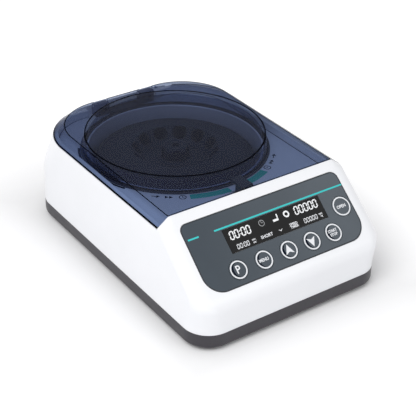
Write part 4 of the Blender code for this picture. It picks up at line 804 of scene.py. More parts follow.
class BodyForm:
    """The moulded form: plan outlines by height, drawn in by an inset."""

    flat_half = 72.5 * MM
    least_corner = 1.5 * MM

    def __init__(self, body, inset=0.0):
        self.body = body
        self.inset = inset
        self.seam = SEAM
        self.top = TOP
        self.front = float(TRAY_LOW.y)
        self.profile = self.front_profile()

    def front_profile(self):
        body, inset = self.body, self.inset
        wall, top = self.front + inset, self.top - inset
        run, rise = math.cos(body.panel_tilt), math.sin(body.panel_tilt)
        slope_y = self.front + body.row_back + rise * inset
        slope_z = self.seam + body.row_rise - run * inset
        low_z = slope_z - (slope_y - wall) * rise / run
        high_y = slope_y + (top - slope_z) * run / rise
        low_radius, high_radius = body.lower_fillet - inset, body.upper_fillet - inset
        low_reach = low_radius * math.tan((math.pi / 2 - body.panel_tilt) / 2)
        high_reach = high_radius * math.tan(body.panel_tilt / 2)
        bend = math.pi / 2 + body.panel_tilt
        return (arc(wall + low_radius, low_z - low_reach, low_radius, math.pi, bend)
                + arc(high_y + high_reach, top - high_radius, high_radius, bend, math.pi / 2))

    def front_at(self, height):
        if height <= self.profile[0][1]:
            return self.profile[0][0]
        for (low_y, low_z), (high_y, high_z) in zip(self.profile, self.profile[1:]):
            if low_z <= height <= high_z and high_z > low_z:
                return between(low_y, high_y, (height - low_z) / (high_z - low_z))
        return self.profile[-1][0]

    def shoulder(self, height):
        start = self.top - self.inset - self.body.shoulder_drop
        share = min(max((height - start) / self.body.shoulder_drop, 0.0), 1.0)
        bend = self.body.shoulder_bend
        run = share * share / (2 * bend) if share < bend else share - bend / 2
        return run / (1 - bend / 2)

    def rise(self, height):
        return (height - self.seam) / (self.top - self.seam)

    def half_width(self, height):
        lost = self.body.side_draft * self.rise(height) + self.body.shoulder_reach * self.shoulder(height)
        return float(TRAY_HIGH.x) - self.inset - lost

    def rear(self, height):
        lost = self.body.side_draft * self.rise(height) + self.body.rear_reach * self.shoulder(height)
        return float(TRAY_HIGH.y) - self.inset - lost

    def rear_corner(self, height):
        growth = smooth_step((self.rise(height) - 0.4) / 0.6)
        lost = self.inset + self.body.shoulder_reach * self.shoulder(height)
        return between(self.body.rear_corner, self.body.top_corner, growth) - lost

    def shoulder_levels(self, low, top, steps=8):
        """Heights up the shoulder's bend, up its slope and over its eased top edge."""
        bend = between(low, top, self.body.shoulder_bend)
        return [between(low, bend, step / steps) for step in range(steps + 1)] + [between(bend, top, 0.5), top]

    def front_corner(self, height):
        upper = self.half_width(height) - self.flat_half + self.inset
        growth = smooth_step((height - self.seam) / self.body.row_rise)
        return max(between(self.body.front_corner, upper, growth) - self.inset, self.least_corner)

    def ring(self, height):
        return outline_ring(height, self.half_width(height), self.front_at(height), self.rear(height),
                            self.front_corner(height), self.rear_corner(height))

    def loft(self, name, bottom, look=None):
        top = self.top - self.inset
        levels = [between(bottom, top - self.body.shoulder_drop, step / 14) for step in range(15)]
        levels += self.shoulder_levels(top - self.body.shoulder_drop, top)
        kept = sorted({bottom, top, *[point[1] for point in self.profile if bottom < point[1] < top]})
        for level in levels:
            if all(abs(level - other) > 0.1 * MM for other in kept):
                kept.append(level)
        return loft(name, [self.ring(height) for height in sorted(kept)], look)


def corner_arc(centre_x, centre_y, radius, quarter, steps, height):
    turns = [math.pi / 2 * (quarter + step / steps) for step in range(steps + 1)]
    return [(centre_x + radius * math.cos(a), centre_y + radius * math.sin(a), height) for a in turns]


def outline_ring(height, width, front, rear, front_radius, rear_radius, rear_steps=28, front_steps=16):
    rear_x, rear_y = width - rear_radius, rear - rear_radius
    front_x, front_y = width - front_radius, front + front_radius
    return (corner_arc(rear_x, rear_y, rear_radius, 0, rear_steps, height)
            + corner_arc(-rear_x, rear_y, rear_radius, 1, rear_steps, height)
            + corner_arc(-front_x, front_y, front_radius, 2, front_steps, height)
            + corner_arc(front_x, front_y, front_radius, 3, front_steps, height))


def panel_frame():
    """Panel coordinates: across, up the slope from the button row, and out of it."""
    body = settings().body
    origin = Vector((0, TRAY_LOW.y + body.row_back, SEAM + body.row_rise))
    return Matrix.Translation(origin) @ Matrix.Rotation(body.panel_tilt, 4, "X")


def on_panel(x, s, out=0.0):
    return panel_frame() @ Matrix.Translation((x, s, out))


def panel_outline(margin=0.0, steps=12):
    low, high = -11.2 * MM - margin, 44.4 * MM + margin
    wide, narrow = 71.9 * MM + margin, 71.2 * MM + margin
    return rounded(((-wide, low, 15 * MM + margin), (wide, low, 15 * MM + margin),
                    (narrow, high, 6 * MM + margin), (-narrow, high, 6 * MM + margin)), steps)


DECK = 71.5 * MM
MOUTH = TOP - 17.7 * MM
LEDGE = 77.2 * MM
LID_EDGE = 77.8 * MM
LID_FRONT = -66.6 * MM
LID_REAR = 118.5 * MM
LID_CREASE = 72.5 * MM
HINGE_Y = 117.5 * MM
SPINE = 121.0 * MM
BAY = 33.0 * MM
BUTTON_PLACES = {
    "button_program": (-42.5 * MM, 0.2 * MM, 7.4 * MM),
    "button_menu": (-19.9 * MM, 0.2 * MM, 7.4 * MM),
    "button_up": (2.7 * MM, 0.2 * MM, 7.4 * MM),
    "button_down": (24.1 * MM, 0.2 * MM, 7.4 * MM),
    "button_start_stop": (44.5 * MM, 0.2 * MM, 7.4 * MM),
    "button_open": (61.9 * MM, 16.5 * MM, 8.1 * MM),
}
DISPLAY_PLACE = (2.9 * MM, 21.5 * MM, 88.2 * MM, 18.8 * MM)
PRINT = 0.03 * MM
DECK_PRINT = 0.06 * MM
KEY_PROUD = 0.2 * MM
KEY_DISH = 0.5 * MM
KEY_SKIRT = 0.75 * MM
KEY_STEM = 3.5 * MM
KEY_STEM_END = -6.067 * MM
FRONT_CORNER = 0.75 * MM
# How far cutting pieces reach past what they cut
OVER = 3 * MM
FAR = 200 * MM
ABOVE = 95 * MM


def build_housing(context):
    """The moulded shell: a loft, hollowed, with its deck, seats, slots and holes cut."""
    body = settings(context).body
    form, inner = BodyForm(body), BodyForm(body, body.wall)
    housing = form.loft("housing", float(HOUSING_LOW.z), "white")
    hollow = inner.loft("hollow", float(HOUSING_LOW.z) - OVER)
    front = LID_FRONT - 0.5 * MM
    deck_block = box("deck_block", (-FAR, front - body.wall, DECK - body.wall), (FAR, FAR, ABOVE))
    combine(hollow, [deck_block])
    settle(hollow, weighted=False)
    seat = box("seat", (-FAR, front, LEDGE), (FAR, SPINE, ABOVE))
    ledge = 6 * MM
    width, rear = form.half_width(DECK) - ledge, form.rear(DECK) - ledge
    pocket = loft("pocket", [outline_ring(z, width, front, rear, FRONT_CORNER, form.rear_corner(DECK) - ledge)
                             for z in (DECK, ABOVE)])
    bay = box("bay", (-BAY, SPINE - 15 * MM, DECK), (BAY, SPINE, ABOVE))
    hole_radius = (GASKET_HIGH.x - GASKET_LOW.x) / 2 - 2.2 * MM
    hole = bar("hole", hole_radius, DECK - 2 * OVER, DECK + OVER, Matrix.Translation(spin_centre()), 160)
    hook_low, hook_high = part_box("latch_hook")
    middle = (hook_low.y + hook_high.y) / 2
    slot = box("slot", (-4.3 * MM, middle - 6 * MM, DECK - 2 * OVER), (7.8 * MM, middle + 6 * MM, ABOVE))
    recess = plates("recess", [panel_outline(0.3 * MM)], -1.5 * MM, OVER, matrix=panel_frame())
    across, up, wide, tall = DISPLAY_PLACE
    window = box("window", (across - wide / 2 + 2 * MM, up - tall / 2 + 2 * MM, -6 * MM),
                 (across + wide / 2 - 2 * MM, up + tall / 2 - 2 * MM, OVER), matrix=panel_frame())
    holes = []
    for name, (x, s, radius) in BUTTON_PLACES.items():
        holes.append(bar("hole_" + name, KEY_STEM + 0.3 * MM, -6 * MM, OVER, on_panel(x, s), 32))
    cutters = [hollow, seat, pocket, bay, hole, slot, recess, window, *holes]
    combine(housing, cutters)
    more = rear_port_tools(housing)
    settle(housing)
    drop(*cutters, deck_block, *more)
    give(housing, "body", "white_plastic", "upper_housing")


def rear_port_tools(housing):
    """The recess for the switch and the supply socket."""
    rear, port_z = float(TRAY_HIGH.y), SEAM + 20 * MM
    floor = rear - 4.2 * MM
    backing = box("backing", (-34 * MM, floor - 2 * MM, port_z - 14 * MM),
                  (34 * MM, rear - 1.2 * MM, port_z + 14 * MM))
    recess = box("port_recess", (-32 * MM, floor, port_z - 12 * MM), (32 * MM, rear + OVER, port_z + 12 * MM))
    switch = box("switch_hole", (-25.5 * MM, floor - 6 * MM, port_z - 7.9 * MM),
                 (-8.5 * MM, floor + OVER, port_z + 7.9 * MM))
    jack_place = Matrix.Translation((18 * MM, floor, port_z)) @ Matrix.Rotation(math.pi / 2, 4, "X")
    jack = bar("jack_hole", 6.3 * MM, -OVER, 6 * MM, matrix=jack_place)
    combine(housing, [backing], "UNION")
    combine(housing, [recess, switch, jack])
    return [backing, recess, switch, jack]


def build_tray(context):
    body = settings(context).body
    low, high = float(TRAY_LOW.z), float(TRAY_HIGH.z)
    wide, rear, front = float(TRAY_HIGH.x), float(TRAY_HIGH.y), float(TRAY_LOW.y)

    def ring(height, inset):
        return outline_ring(height, wide - inset, front + inset, rear - inset, body.front_corner - inset,
                            body.rear_corner - inset)

    lip = SEAM + 2 * MM
    turns = [math.pi / 2 * (1 - step / 8) for step in range(9)]
    rows = [(low + 3 * MM * (1 - math.sin(turn)), 3 * MM * (1 - math.cos(turn))) for turn in turns]
    rows += [(SEAM - 0.35 * MM, 0.0), (SEAM - 0.1 * MM, 0.1 * MM), (SEAM, 0.35 * MM), (SEAM, 2.8 * MM),
             (lip, 2.8 * MM)]
    tray = loft("tray", [ring(height, inset) for height, inset in rows], "tray")
    hollow = loft("tray_hollow", [ring(height, 3.8 * MM) for height in (low + 2.2 * MM, lip + OVER)])
    spin = spin_centre()
    vents = box("vents", (-1.25 * MM, spin.y - 22 * MM, low - OVER),
                (1.25 * MM, spin.y + 22 * MM, low + 2 * OVER))
    repeat(vents, row_tree(), None, count=7, step=(6 * MM, 0.0, 0.0))
    posts, sinks, bores = [], [], []
    for index in range(1, 5):
        place = Matrix.Translation(node_foot(f"base_screw_{index}"))
        posts.append(bar(f"post_{index}", 4.8 * MM, low + 1 * MM, high, matrix=place))
        sinks.append(bar(f"sink_{index}", 3.3 * MM, low - OVER, low + 3.3 * MM, matrix=place))
        bores.append(bar(f"bore_{index}", 1.7 * MM, low - OVER, high + OVER, matrix=place))
    combine(tray, [hollow])
    combine(tray, posts, "UNION")
    combine(tray, [vents, *sinks, *bores])
    settle(tray)
    drop(hollow, vents, *posts, *sinks, *bores)
    give(tray, "body", "grey_plastic", "base_tray")
    build_feet(low)
    build_screws()


def node_foot(node):
    """The point on the table under a CAD node's middle."""
    low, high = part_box(node)
    return Vector((*((low + high) / 2).xy, 0))


def points_mesh(name, nodes):
    mesh = bpy.data.meshes.new(name)
    mesh.from_pydata([tuple(node_foot(node)) for node in nodes], [], [])
    return add_piece(name, mesh)


def build_feet(low):
    """Four rubber feet with a soft edge and a shallow ring in the tread."""
    nodes = ["foot_front_left", "foot_front_right", "foot_rear_left", "foot_rear_right"]
    top, tip = low - 0.3 * MM, 0.0
    foot = turned("foot", [
        (0, low + 2.2 * MM), (2 * MM, low + 2.2 * MM), (2 * MM, top), (6.6 * MM, top),
        (7 * MM, top - 0.3 * MM),
        (7 * MM, tip + 0.9 * MM), (6.8 * MM, tip + 0.35 * MM), (6.3 * MM, tip), (4.6 * MM, tip),
        (4.3 * MM, tip + 0.5 * MM), (3.3 * MM, tip + 0.5 * MM), (3.0 * MM, tip), (0, tip),
    ], centre=Vector((0, 0, 0)), steps=48)
    feet = points_mesh("rubber_feet", nodes)
    repeat(feet, point_tree(), "rubber", piece=foot)
    drop(foot)
    give(feet, "body", "black_rubber", *nodes)


def build_screws():
    """The four base screws, with a cross in each head."""
    nodes = [f"base_screw_{index}" for index in range(1, 5)]
    low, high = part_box(nodes[0])
    head = turned("screw", [
        (0, high.z), (1.3 * MM, high.z), (1.4 * MM, high.z - 0.4 * MM), (1.4 * MM, low.z + 2.4 * MM),
        (3.0 * MM, low.z + 2.4 * MM), (3.0 * MM, low.z + 0.8 * MM), (2.5 * MM, low.z + 0.2 * MM),
        (1.4 * MM, low.z), (0, low.z),
    ], centre=Vector((0, 0, 0)), steps=32)
    cross = [box("cross_a", (-1.7 * MM, -0.3 * MM, low.z - OVER), (1.7 * MM, 0.3 * MM, low.z + 1.1 * MM)),
             box("cross_b", (-0.3 * MM, -1.7 * MM, low.z - OVER), (0.3 * MM, 1.7 * MM, low.z + 1.1 * MM))]
    combine(head, cross)
    settle(head, weighted=False)
    screws = points_mesh("tray_screws", nodes)
    repeat(screws, point_tree(), "plain_steel", piece=head)
    drop(head, *cross)
    give(screws, "body", "bare_steel", *nodes)


def build_lid(context):
    body, look = settings(context).body, settings(context).lid
    form = BodyForm(body)
    top, edge, wall = TOP, LID_EDGE, look.wall

    def ring(height, inset, front):
        return outline_ring(height, form.half_width(height) - inset, front, form.rear(height) - inset,
                            FRONT_CORNER, form.rear_corner(height) - inset, rear_steps=36)

    levels = [edge] + [z for z in form.shoulder_levels(top - body.shoulder_drop, top) if z > edge + 0.1 * MM]
    lid = loft("lid", [ring(z, 0.0, LID_FRONT) for z in levels], "lid")
    ceiling = top - wall
    crease = form.half_width(ceiling) - LID_CREASE
    level = ring(edge, wall, LID_FRONT - OVER)
    below = [(x, y, z - OVER) for x, y, z in level]
    hollow = loft("lid_hollow", [below, level, ring(ceiling, crease, LID_FRONT - OVER)])
    bay_front = float(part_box("hinge_bracket_left")[0].y)
    cuts = [
        hollow,
        box("rear_cut", (-FAR, LID_REAR, edge - OVER), (FAR, FAR, ABOVE)),
        box("hinge_bay", (-BAY, bay_front, edge - 2 * OVER), (BAY, FAR + OVER, ceiling)),
    ]
    for node in ("hinge_bracket_left", "hinge_bracket_right"):
        first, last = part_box(node)
        cuts.append(box("notch_" + node, (first.x - 0.3 * MM, HINGE_Y - 2.8 * MM, edge - 1.5 * MM),
                        (last.x + 0.3 * MM, FAR - OVER, ABOVE + OVER)))
    combine(lid, cuts)
    foot = float(GASKET_HIGH.z) + 0.3 * MM
    high, radius, flare = top + look.window_rise, look.window_radius, 1.6 * MM
    window = turned("lid_window", [
        (0, high), (radius - 1.1 * MM, high), (radius - 0.5 * MM, high - 0.12 * MM),
        (radius - 0.12 * MM, high - 0.5 * MM), (radius + 0.1 * MM, high - 1.1 * MM), (radius + flare, foot),
        (0, foot)], steps=192)
    inside = turned("window_hollow", [
        (0, high - wall), (radius - wall - 0.6 * MM, high - wall), (radius - wall, high - wall - 0.6 * MM),
        (radius + flare - wall, foot), (radius + flare - wall, foot - OVER), (0, foot - OVER)], steps=192)
    combine(lid, [window], "UNION")
    combine(lid, [inside])
    settle(lid, 30)
    give(lid, "lid", "tinted_clear", "lid_shell")
    build_lid_edges(form, look, foot, cuts)
    drop(*cuts, window, inside)


def build_lid_edges(form, look, foot, cuts):
    """The dark glints along the lid's edges, its creases and the window's rim and foot."""
    def ring(height, inset):
        return outline_ring(height, form.half_width(height) - inset, LID_FRONT + inset,
                            form.rear(height) - inset, FRONT_CORNER - inset / 2,
                            form.rear_corner(height) - inset, rear_steps=36)

    proud, width = 0.03 * MM, 0.7 * MM
    crease = hoop("crease", [ring(TOP - 0.1 * MM, 0), ring(TOP + proud, 0), ring(TOP + proud, width),
                             ring(TOP - 0.1 * MM, width)])
    low, high = LID_EDGE + proud, LID_EDGE + width
    brim = hoop("brim", [ring(low, width), ring(low, -proud), ring(high, -proud), ring(high, width)])
    for line in (crease, brim):
        combine(line, cuts)
        settle(line, weighted=False)
    rings = bmesh.new()
    centre, radius = spin_centre(), look.window_radius
    band(rings, centre, radius - 1.0 * MM, radius - 0.02 * MM, TOP - 0.1 * MM,
         TOP + look.window_rise - proud, steps=160)
    band(rings, centre, radius + 1.0 * MM, radius + 2.1 * MM, foot, foot + 0.4 * MM, steps=160)
    # Painted shadow: the dark sickle at the left foot of the window's wall.
    add_painted_shadow_sickle(rings, centre, radius + 1.6 * MM, foot)
    window = mesh_of("window_rings", rings)
    edges = join("lid_edges", [crease.data, brim.data, window], "lid_edge")
    drop(crease, brim)
    give(edges, "lid", "tinted_clear")


def add_painted_shadow_sickle(shape, centre, radius, foot, steps=24):
    """Adds the dark sickle outside the left foot of the window's wall."""
    rows = []
    for step in range(steps + 1):
        share = step / steps
        turn = math.radians(between(156, 207, share))
        along = Vector((math.cos(turn), math.sin(turn), 0))
        rise = (0.1 + 17.0 * share * (1 - share)) * MM
        lean = rise * 0.135
        rows.append([shape.verts.new(centre + along * (radius + out) + Vector((0, 0, foot + up))) for out, up in (
            (0.03 * MM, 0), (0.15 * MM, 0), (0.15 * MM - lean, rise), (0.03 * MM - lean, rise))])
    skin(shape, rows)


def build_chamber(context):
    """The bowl with its rolled rim, and the black seal round it."""
    radius = (BOWL_HIGH.x - BOWL_LOW.x) / 2
    rim, base, wall = float(BOWL_HIGH.z), float(BOWL_LOW.z), 1.7 * MM
    floor, bend, inner = base + wall, 13 * MM, radius - wall
    inside, outside = [], []
    for step in range(13):
        turn = math.pi / 2 * step / 12
        outside.append((inner - bend + (bend + wall) * math.cos(turn),
                        floor + bend - (bend + wall) * math.sin(turn)))
        inside.append((inner - bend + bend * math.cos(turn), floor + bend - bend * math.sin(turn)))
    crown = wall / 3
    bowl = turned("bowl", [
        (radius - crown, rim), (radius - 0.15 * MM, rim - 0.2 * MM), (radius, rim - crown), *outside,
        (6 * MM, base), (6 * MM, floor + 5 * MM), (8.2 * MM, floor + 5 * MM), (9 * MM, floor + 4.2 * MM),
        (9 * MM, floor + 0.6 * MM), (9.6 * MM, floor), *reversed(inside), (inner, rim - crown),
        (inner + 0.15 * MM, rim - 0.2 * MM), (inner + crown, rim)], "steel", steps=192)
    settle(bowl)
    give(bowl, "body", "bare_steel", "rotor_bowl")
    flange = (GASKET_HIGH.x - GASKET_LOW.x) / 2
    lip, top, seat = flange - 2.2 * MM, float(GASKET_HIGH.z), DECK + 0.3 * MM
    seal = turned("bowl_seal", [
        (lip - 0.3 * MM, top), (lip, top - 0.15 * MM), (flange - 0.3 * MM, seat + 0.8 * MM),
        (flange, seat + 0.5 * MM), (flange, seat), (lip - 0.3 * MM, seat),
        (lip - 0.3 * MM, float(GASKET_LOW.z)), (radius + 0.3 * MM, float(GASKET_LOW.z)),
        (radius + 0.3 * MM, top - 0.2 * MM), (radius + 0.5 * MM, top)], "seal", steps=192)
    settle(seal)
    give(seal, "body", "black_rubber", "bowl_gasket")


def rotor_profile():
    """The CAD rotor's turned profile, with its edges eased."""
    bottom = float(ROTOR_LOW.z)
    mouth_z, edge_z = MOUTH, MOUTH - 5.2 * MM
    floor_z = mouth_z - 6.6 * MM
    rim_z = mouth_z + 3.6 * MM
    under = 30.6 * MM + 34 * MM * math.sin(math.pi / 4) - 5.5 * MM - 3.5 * MM
    line = mouth_z + 30.6 * MM - 5.5 * MM * math.sqrt(2) - 3.5 * MM
    skin_z = floor_z - 3.5 * MM
    return [
        (3.3 * MM, floor_z + 1.75 * MM), (11.6 * MM, floor_z + 1.75 * MM), (12.0 * MM, floor_z + 1.4 * MM),
        (13.5 * MM, floor_z + 0.15 * MM), (14 * MM, floor_z), (23.6 * MM, floor_z), (24.4 * MM, floor_z + 0.25 * MM),
        (33.8 * MM, rim_z - 0.35 * MM), (34.5 * MM, rim_z), (35.5 * MM, rim_z), (36.3 * MM, rim_z - 0.12 * MM),
        (61.8 * MM, edge_z + 1.9 * MM), (62.9 * MM, edge_z + 1.45 * MM), (63.6 * MM, edge_z + 0.8 * MM),
        (64 * MM, edge_z - 0.2 * MM), (64 * MM, edge_z - 14.6 * MM), (63.8 * MM, edge_z - 15.2 * MM),
        (60.5 * MM, bottom + 1.8 * MM), (58.6 * MM, bottom + 0.3 * MM), (57 * MM, bottom), (under, bottom),
        (under, line - under), (line - skin_z, skin_z), (11.4 * MM, skin_z), (11.4 * MM, bottom + 4 * MM),
        (3.3 * MM, bottom + 4 * MM)]


def build_rotor(context):
    look = settings(context).rotor
    rotor = turned("angle_rotor", rotor_profile(), "rotor", steps=192)
    place = (Matrix.Translation((look.mouth_radius, 0, MOUTH))
             @ Matrix.Rotation(math.pi - look.place_angle, 4, "Y"))
    depth, bore = 34 * MM, look.bore
    turns = [math.pi / 2 * step / 6 for step in range(6)]
    tip = [(bore * math.cos(a), depth - bore + bore * math.sin(a)) for a in turns]
    profile = [(0, -6 * MM), (bore + 0.7 * MM, -6 * MM), (bore + 0.7 * MM, -0.02 * MM),
               (bore + 0.25 * MM, 0.35 * MM), (bore, 0.9 * MM), *tip, (0, depth)]
    cutter = turned("tube_place", list(reversed(profile)), centre=Vector((0, 0, 0)), steps=40)
    cutter.data.transform(place)
    cutter.matrix_world = Matrix.Translation(spin_centre())
    repeat(cutter, ring_tree(), None, count=look.places, start_angle=look.rest_angle)
    combine(rotor, [cutter])
    settle(rotor)
    drop(cutter)
    give(rotor, "rotor", "rotor_black", "rotor")
    build_nut()


def build_nut():
    """The finger nut: six lobes, a dished top with a slot for a coin."""
    low, high = float(NUT_LOW.z), float(NUT_HIGH.z)
    nut = turned("finger_nut", [
        (3.3 * MM, high - 0.6 * MM), (5.6 * MM, high - 0.6 * MM), (6.2 * MM, high), (8.4 * MM, high),
        (9.8 * MM, high - 0.5 * MM), (11.0 * MM, high - 1.6 * MM), (11.5 * MM, high - 3.2 * MM), (11.5 * MM, low + 1.6 * MM),
        (10.6 * MM, low + 0.3 * MM), (9.8 * MM, low), (3.3 * MM, low)], "rotor", steps=96)
    lobe = bar("lobe", 4 * MM, low - OVER, high + OVER, matrix=Matrix.Translation((13.5 * MM, 0, 0)), steps=32)
    lobe.data.transform(lobe.matrix_world)
    lobe.matrix_world = Matrix.Translation(spin_centre())
    repeat(lobe, ring_tree(), None, count=6, start_angle=0.0)
    combine(nut, [lobe])
    settle(nut)
    drop(lobe)
    give(nut, "rotor", "black_plastic", "rotor_nut")


# Panel, display and keys

def nought(x, s, height):
    """The six lit bars of a nought, with its lower left corner at (x, s)."""
    width, bar_width, half = height * 0.50, height * 0.16, height / 2
    gap = height * 0.012
    lean = math.tan(math.radians(6))
    corners = [(0, height), (width, height), (width, half), (width, 0), (0, 0), (0, half), (0, height)]
    outlines = []
    for ends in (corners[0:2], corners[1:3], corners[2:4], corners[4:2:-1], corners[5:3:-1], corners[6:4:-1]):
        first, last = (Vector(point) for point in ends)
        along = (last - first).normalized()
        side = Vector((-along.y, along.x)) * bar_width / 2
        start, stop = first + along * gap, last - along * gap
        tip = along * bar_width / 2
        points = [start, start + tip - side, stop - tip - side, stop, stop - tip + side, start + tip + side]
        outlines.append([(x + p.x + p.y * lean, s + p.y) for p in points])
    return outlines


def number_plates(text, x, s, height, pitch):
    """Outlines of a row of noughts and colons."""
    outlines = []
    for character in text:
        if character == ":":
            for share in (0.3, 0.7):
                outlines.append([(x + height * (0.08 + dx), s + height * (share + dy))
                                 for dx, dy in ((-0.07, -0.07), (0.07, -0.07), (0.07, 0.07), (-0.07, 0.07))])
            x += pitch * 0.30
        else:
            outlines += nought(x, s, height)
            x += pitch
    return outlines


def build_panel(context):
    panel = settings(context).panel
    across, up, wide, tall = DISPLAY_PLACE
    film = plates("panel_film", [panel_outline()], -1.2 * MM, 0, "film", panel_frame())
    window = box("film_window", (across - wide / 2, up - tall / 2, -OVER),
                 (across + wide / 2, up + tall / 2, OVER), panel_frame())
    holes = []
    for name, (x, s, radius) in BUTTON_PLACES.items():
        holes.append(bar("key_hole_" + name, radius + 0.3 * MM, -OVER, OVER, on_panel(x, s), 64))
    combine(film, [window, *holes])
    settle(film)
    drop(window, *holes)
    give(film, "body", "slate_film", "panel_overlay")

    outer, inner = panel_outline(), panel_outline(-0.75 * MM)
    low, high = 0.0, 0.03 * MM
    rings = [[(*point, z) for point in line] for line, z in
             ((outer, low), (outer, high), (inner, high), (inner, low))]
    lay(hoop("panel_border", rings, "edge", on_panel(0, 0)), "slate_film")

    line_at, half = 32.3 * MM, 0.62 * MM
    spans = ((-68.9 * MM, -59.8 * MM), (-46.6 * MM, 71.1 * MM))
    outlines = [[(a, line_at - half), (b, line_at - half), (b, line_at + half), (a, line_at + half)]
                for a, b in spans]
    lay(plates("panel_line", outlines, 0, 0.04 * MM, "line", on_panel(0, 0)), "slate_film")
    build_display(panel)


def build_display(panel):
    across, up, wide, tall = DISPLAY_PLACE
    corner = 0.4 * MM
    half_wide, half_tall = wide / 2 - 0.3 * MM, tall / 2 - 0.3 * MM
    outline = rounded(((across - half_wide, up - half_tall, corner), (across + half_wide, up - half_tall, corner),
                       (across + half_wide, up + half_tall, corner), (across - half_wide, up + half_tall, corner)), 4)
    glass = plates("display_glass", [outline], -1.2 * MM, 0, "glass", on_panel(0, 0))
    settle(glass)
    give(glass, "body", "display_black", "display_window")
    left, low = across - wide / 2, up - tall / 2
    height = panel.figure_height
    row = low + tall - height - 2.2 * MM
    pitch = 4.4 * MM
    figures = number_plates("00:00", left + 4.3 * MM, row - 0.9 * MM, height, pitch)
    figures += number_plates("00000", left + wide - 25.0 * MM, row - 0.2 * MM, height, pitch)
    lay(plates("display_figures", figures, 0, PRINT, "ink", on_panel(0, 0)), "display_black")
    build_display_signs(left, low, wide, row + height / 2)


def build_display_signs(left, low, wide, middle):
    """The clock, seat, ring and small words of the display, in plain signs."""
    bright, dim = bmesh.new(), bmesh.new()

    def sign(shape, centre, corners):
        prism(shape, [(centre.x + x * MM, centre.y + s * MM) for x, s in corners], 0, PRINT)

    clock = Vector((left + 33 * MM, middle, 0))
    band(dim, clock, 2.0 * MM, 2.5 * MM, 0, PRINT)
    sign(dim, clock, ((-0.2, 0), (0.2, 0), (0.2, 1.6), (-0.2, 1.6)))
    sign(dim, clock, ((0, -0.2), (1.3, -0.2), (1.3, 0.2), (0, 0.2)))
    lid = Vector((left + 45.2 * MM, middle - 1.6 * MM, 0))
    sign(bright, lid, ((-2.4, -0.8), (2.2, -0.8), (2.6, 0.9), (-2.4, 0.9)))
    sign(bright, lid, ((1.6, 1.2), (2.6, 1.2), (2.9, 4.2), (1.9, 4.2)))
    band(bright, Vector((left + 55.6 * MM, middle, 0)), 1.4 * MM, 2.6 * MM, 0, PRINT)
    for shape, name, look in ((bright, "display_signs", "ink"), (dim, "display_clock", "dim_ink")):
        lay(from_shape(name, outward(shape), look, on_panel(0, 0)), "display_black")
    build_display_print(left, low + 3.6 * MM)


SMALL_PRINT = [("min", 21.0, 1.0, 2.1), ("sec", 21.0, -1.0, 2.1), ("SHORT", 32.5, 0.0, 3.3),
               ("SPEED", 57.5, 1.3, 2.7), ("TIMER", 57.5, -0.9, 2.7), ("rpm", 83.0, 1.4, 2.0),
               ("xg", 83.2, -0.5, 2.0)]


def build_display_print(left, second):
    """The display's second row: set values as small figures, with their units and words."""
    small, pitch = 3.3 * MM, 2.6 * MM
    outlines = number_plates("00:00", left + 6.0 * MM, second - small / 2, small, pitch)
    outlines += number_plates("00000", left + 67.0 * MM, second - small / 2 + 0.3 * MM, small, pitch)
    outlines.append([(left + x * MM, second + s * MM) for x, s in
                     ((43.4, 0.9), (45.2, -0.6), (47.0, 0.9), (46.2, 0.9), (45.2, 0.1), (44.2, 0.9))])
    lay(plates("display_values", outlines, 0, PRINT, "key_ink", on_panel(0, 0)), "display_black")
    meshes = [words("small_print", text, height * MM, on_panel(left + x * MM, second + s * MM, PRINT / 2), PRINT,
                    weight=height * MM / 40) for text, x, s, height in SMALL_PRINT]
    piece = join("display_print", meshes, "key_ink")
    give(piece, "body", "display_black")


KEY_SIGNS = {
    "button_program": ("P", 8.6 * MM),
    "button_menu": ("MENU", 3.3 * MM),
    "button_start_stop": ("START\nSTOP", 3.0 * MM),
    "button_open": ("OPEN", 3.5 * MM),
}


def arrow(turn, size):
    """A plain arrow head with a notch in its base."""
    points = [(0, 0.62), (0.52, -0.42), (0, -0.18), (-0.52, -0.42)]
    return [Matrix.Rotation(turn, 2) @ Vector(point) * size for point in points]


def crescent(radius, low, high):
    """The shaded left side of a key's dish."""
    turns = [math.radians(95 + 10 * step) for step in range(18)]
    shape = bmesh.new()
    prism(shape, [(radius * math.cos(a), radius * math.sin(a)) for a in turns]
          + [(0.66 * radius * math.cos(a), 0.98 * radius * math.sin(a)) for a in reversed(turns)], low, high)
    return outward(shape)


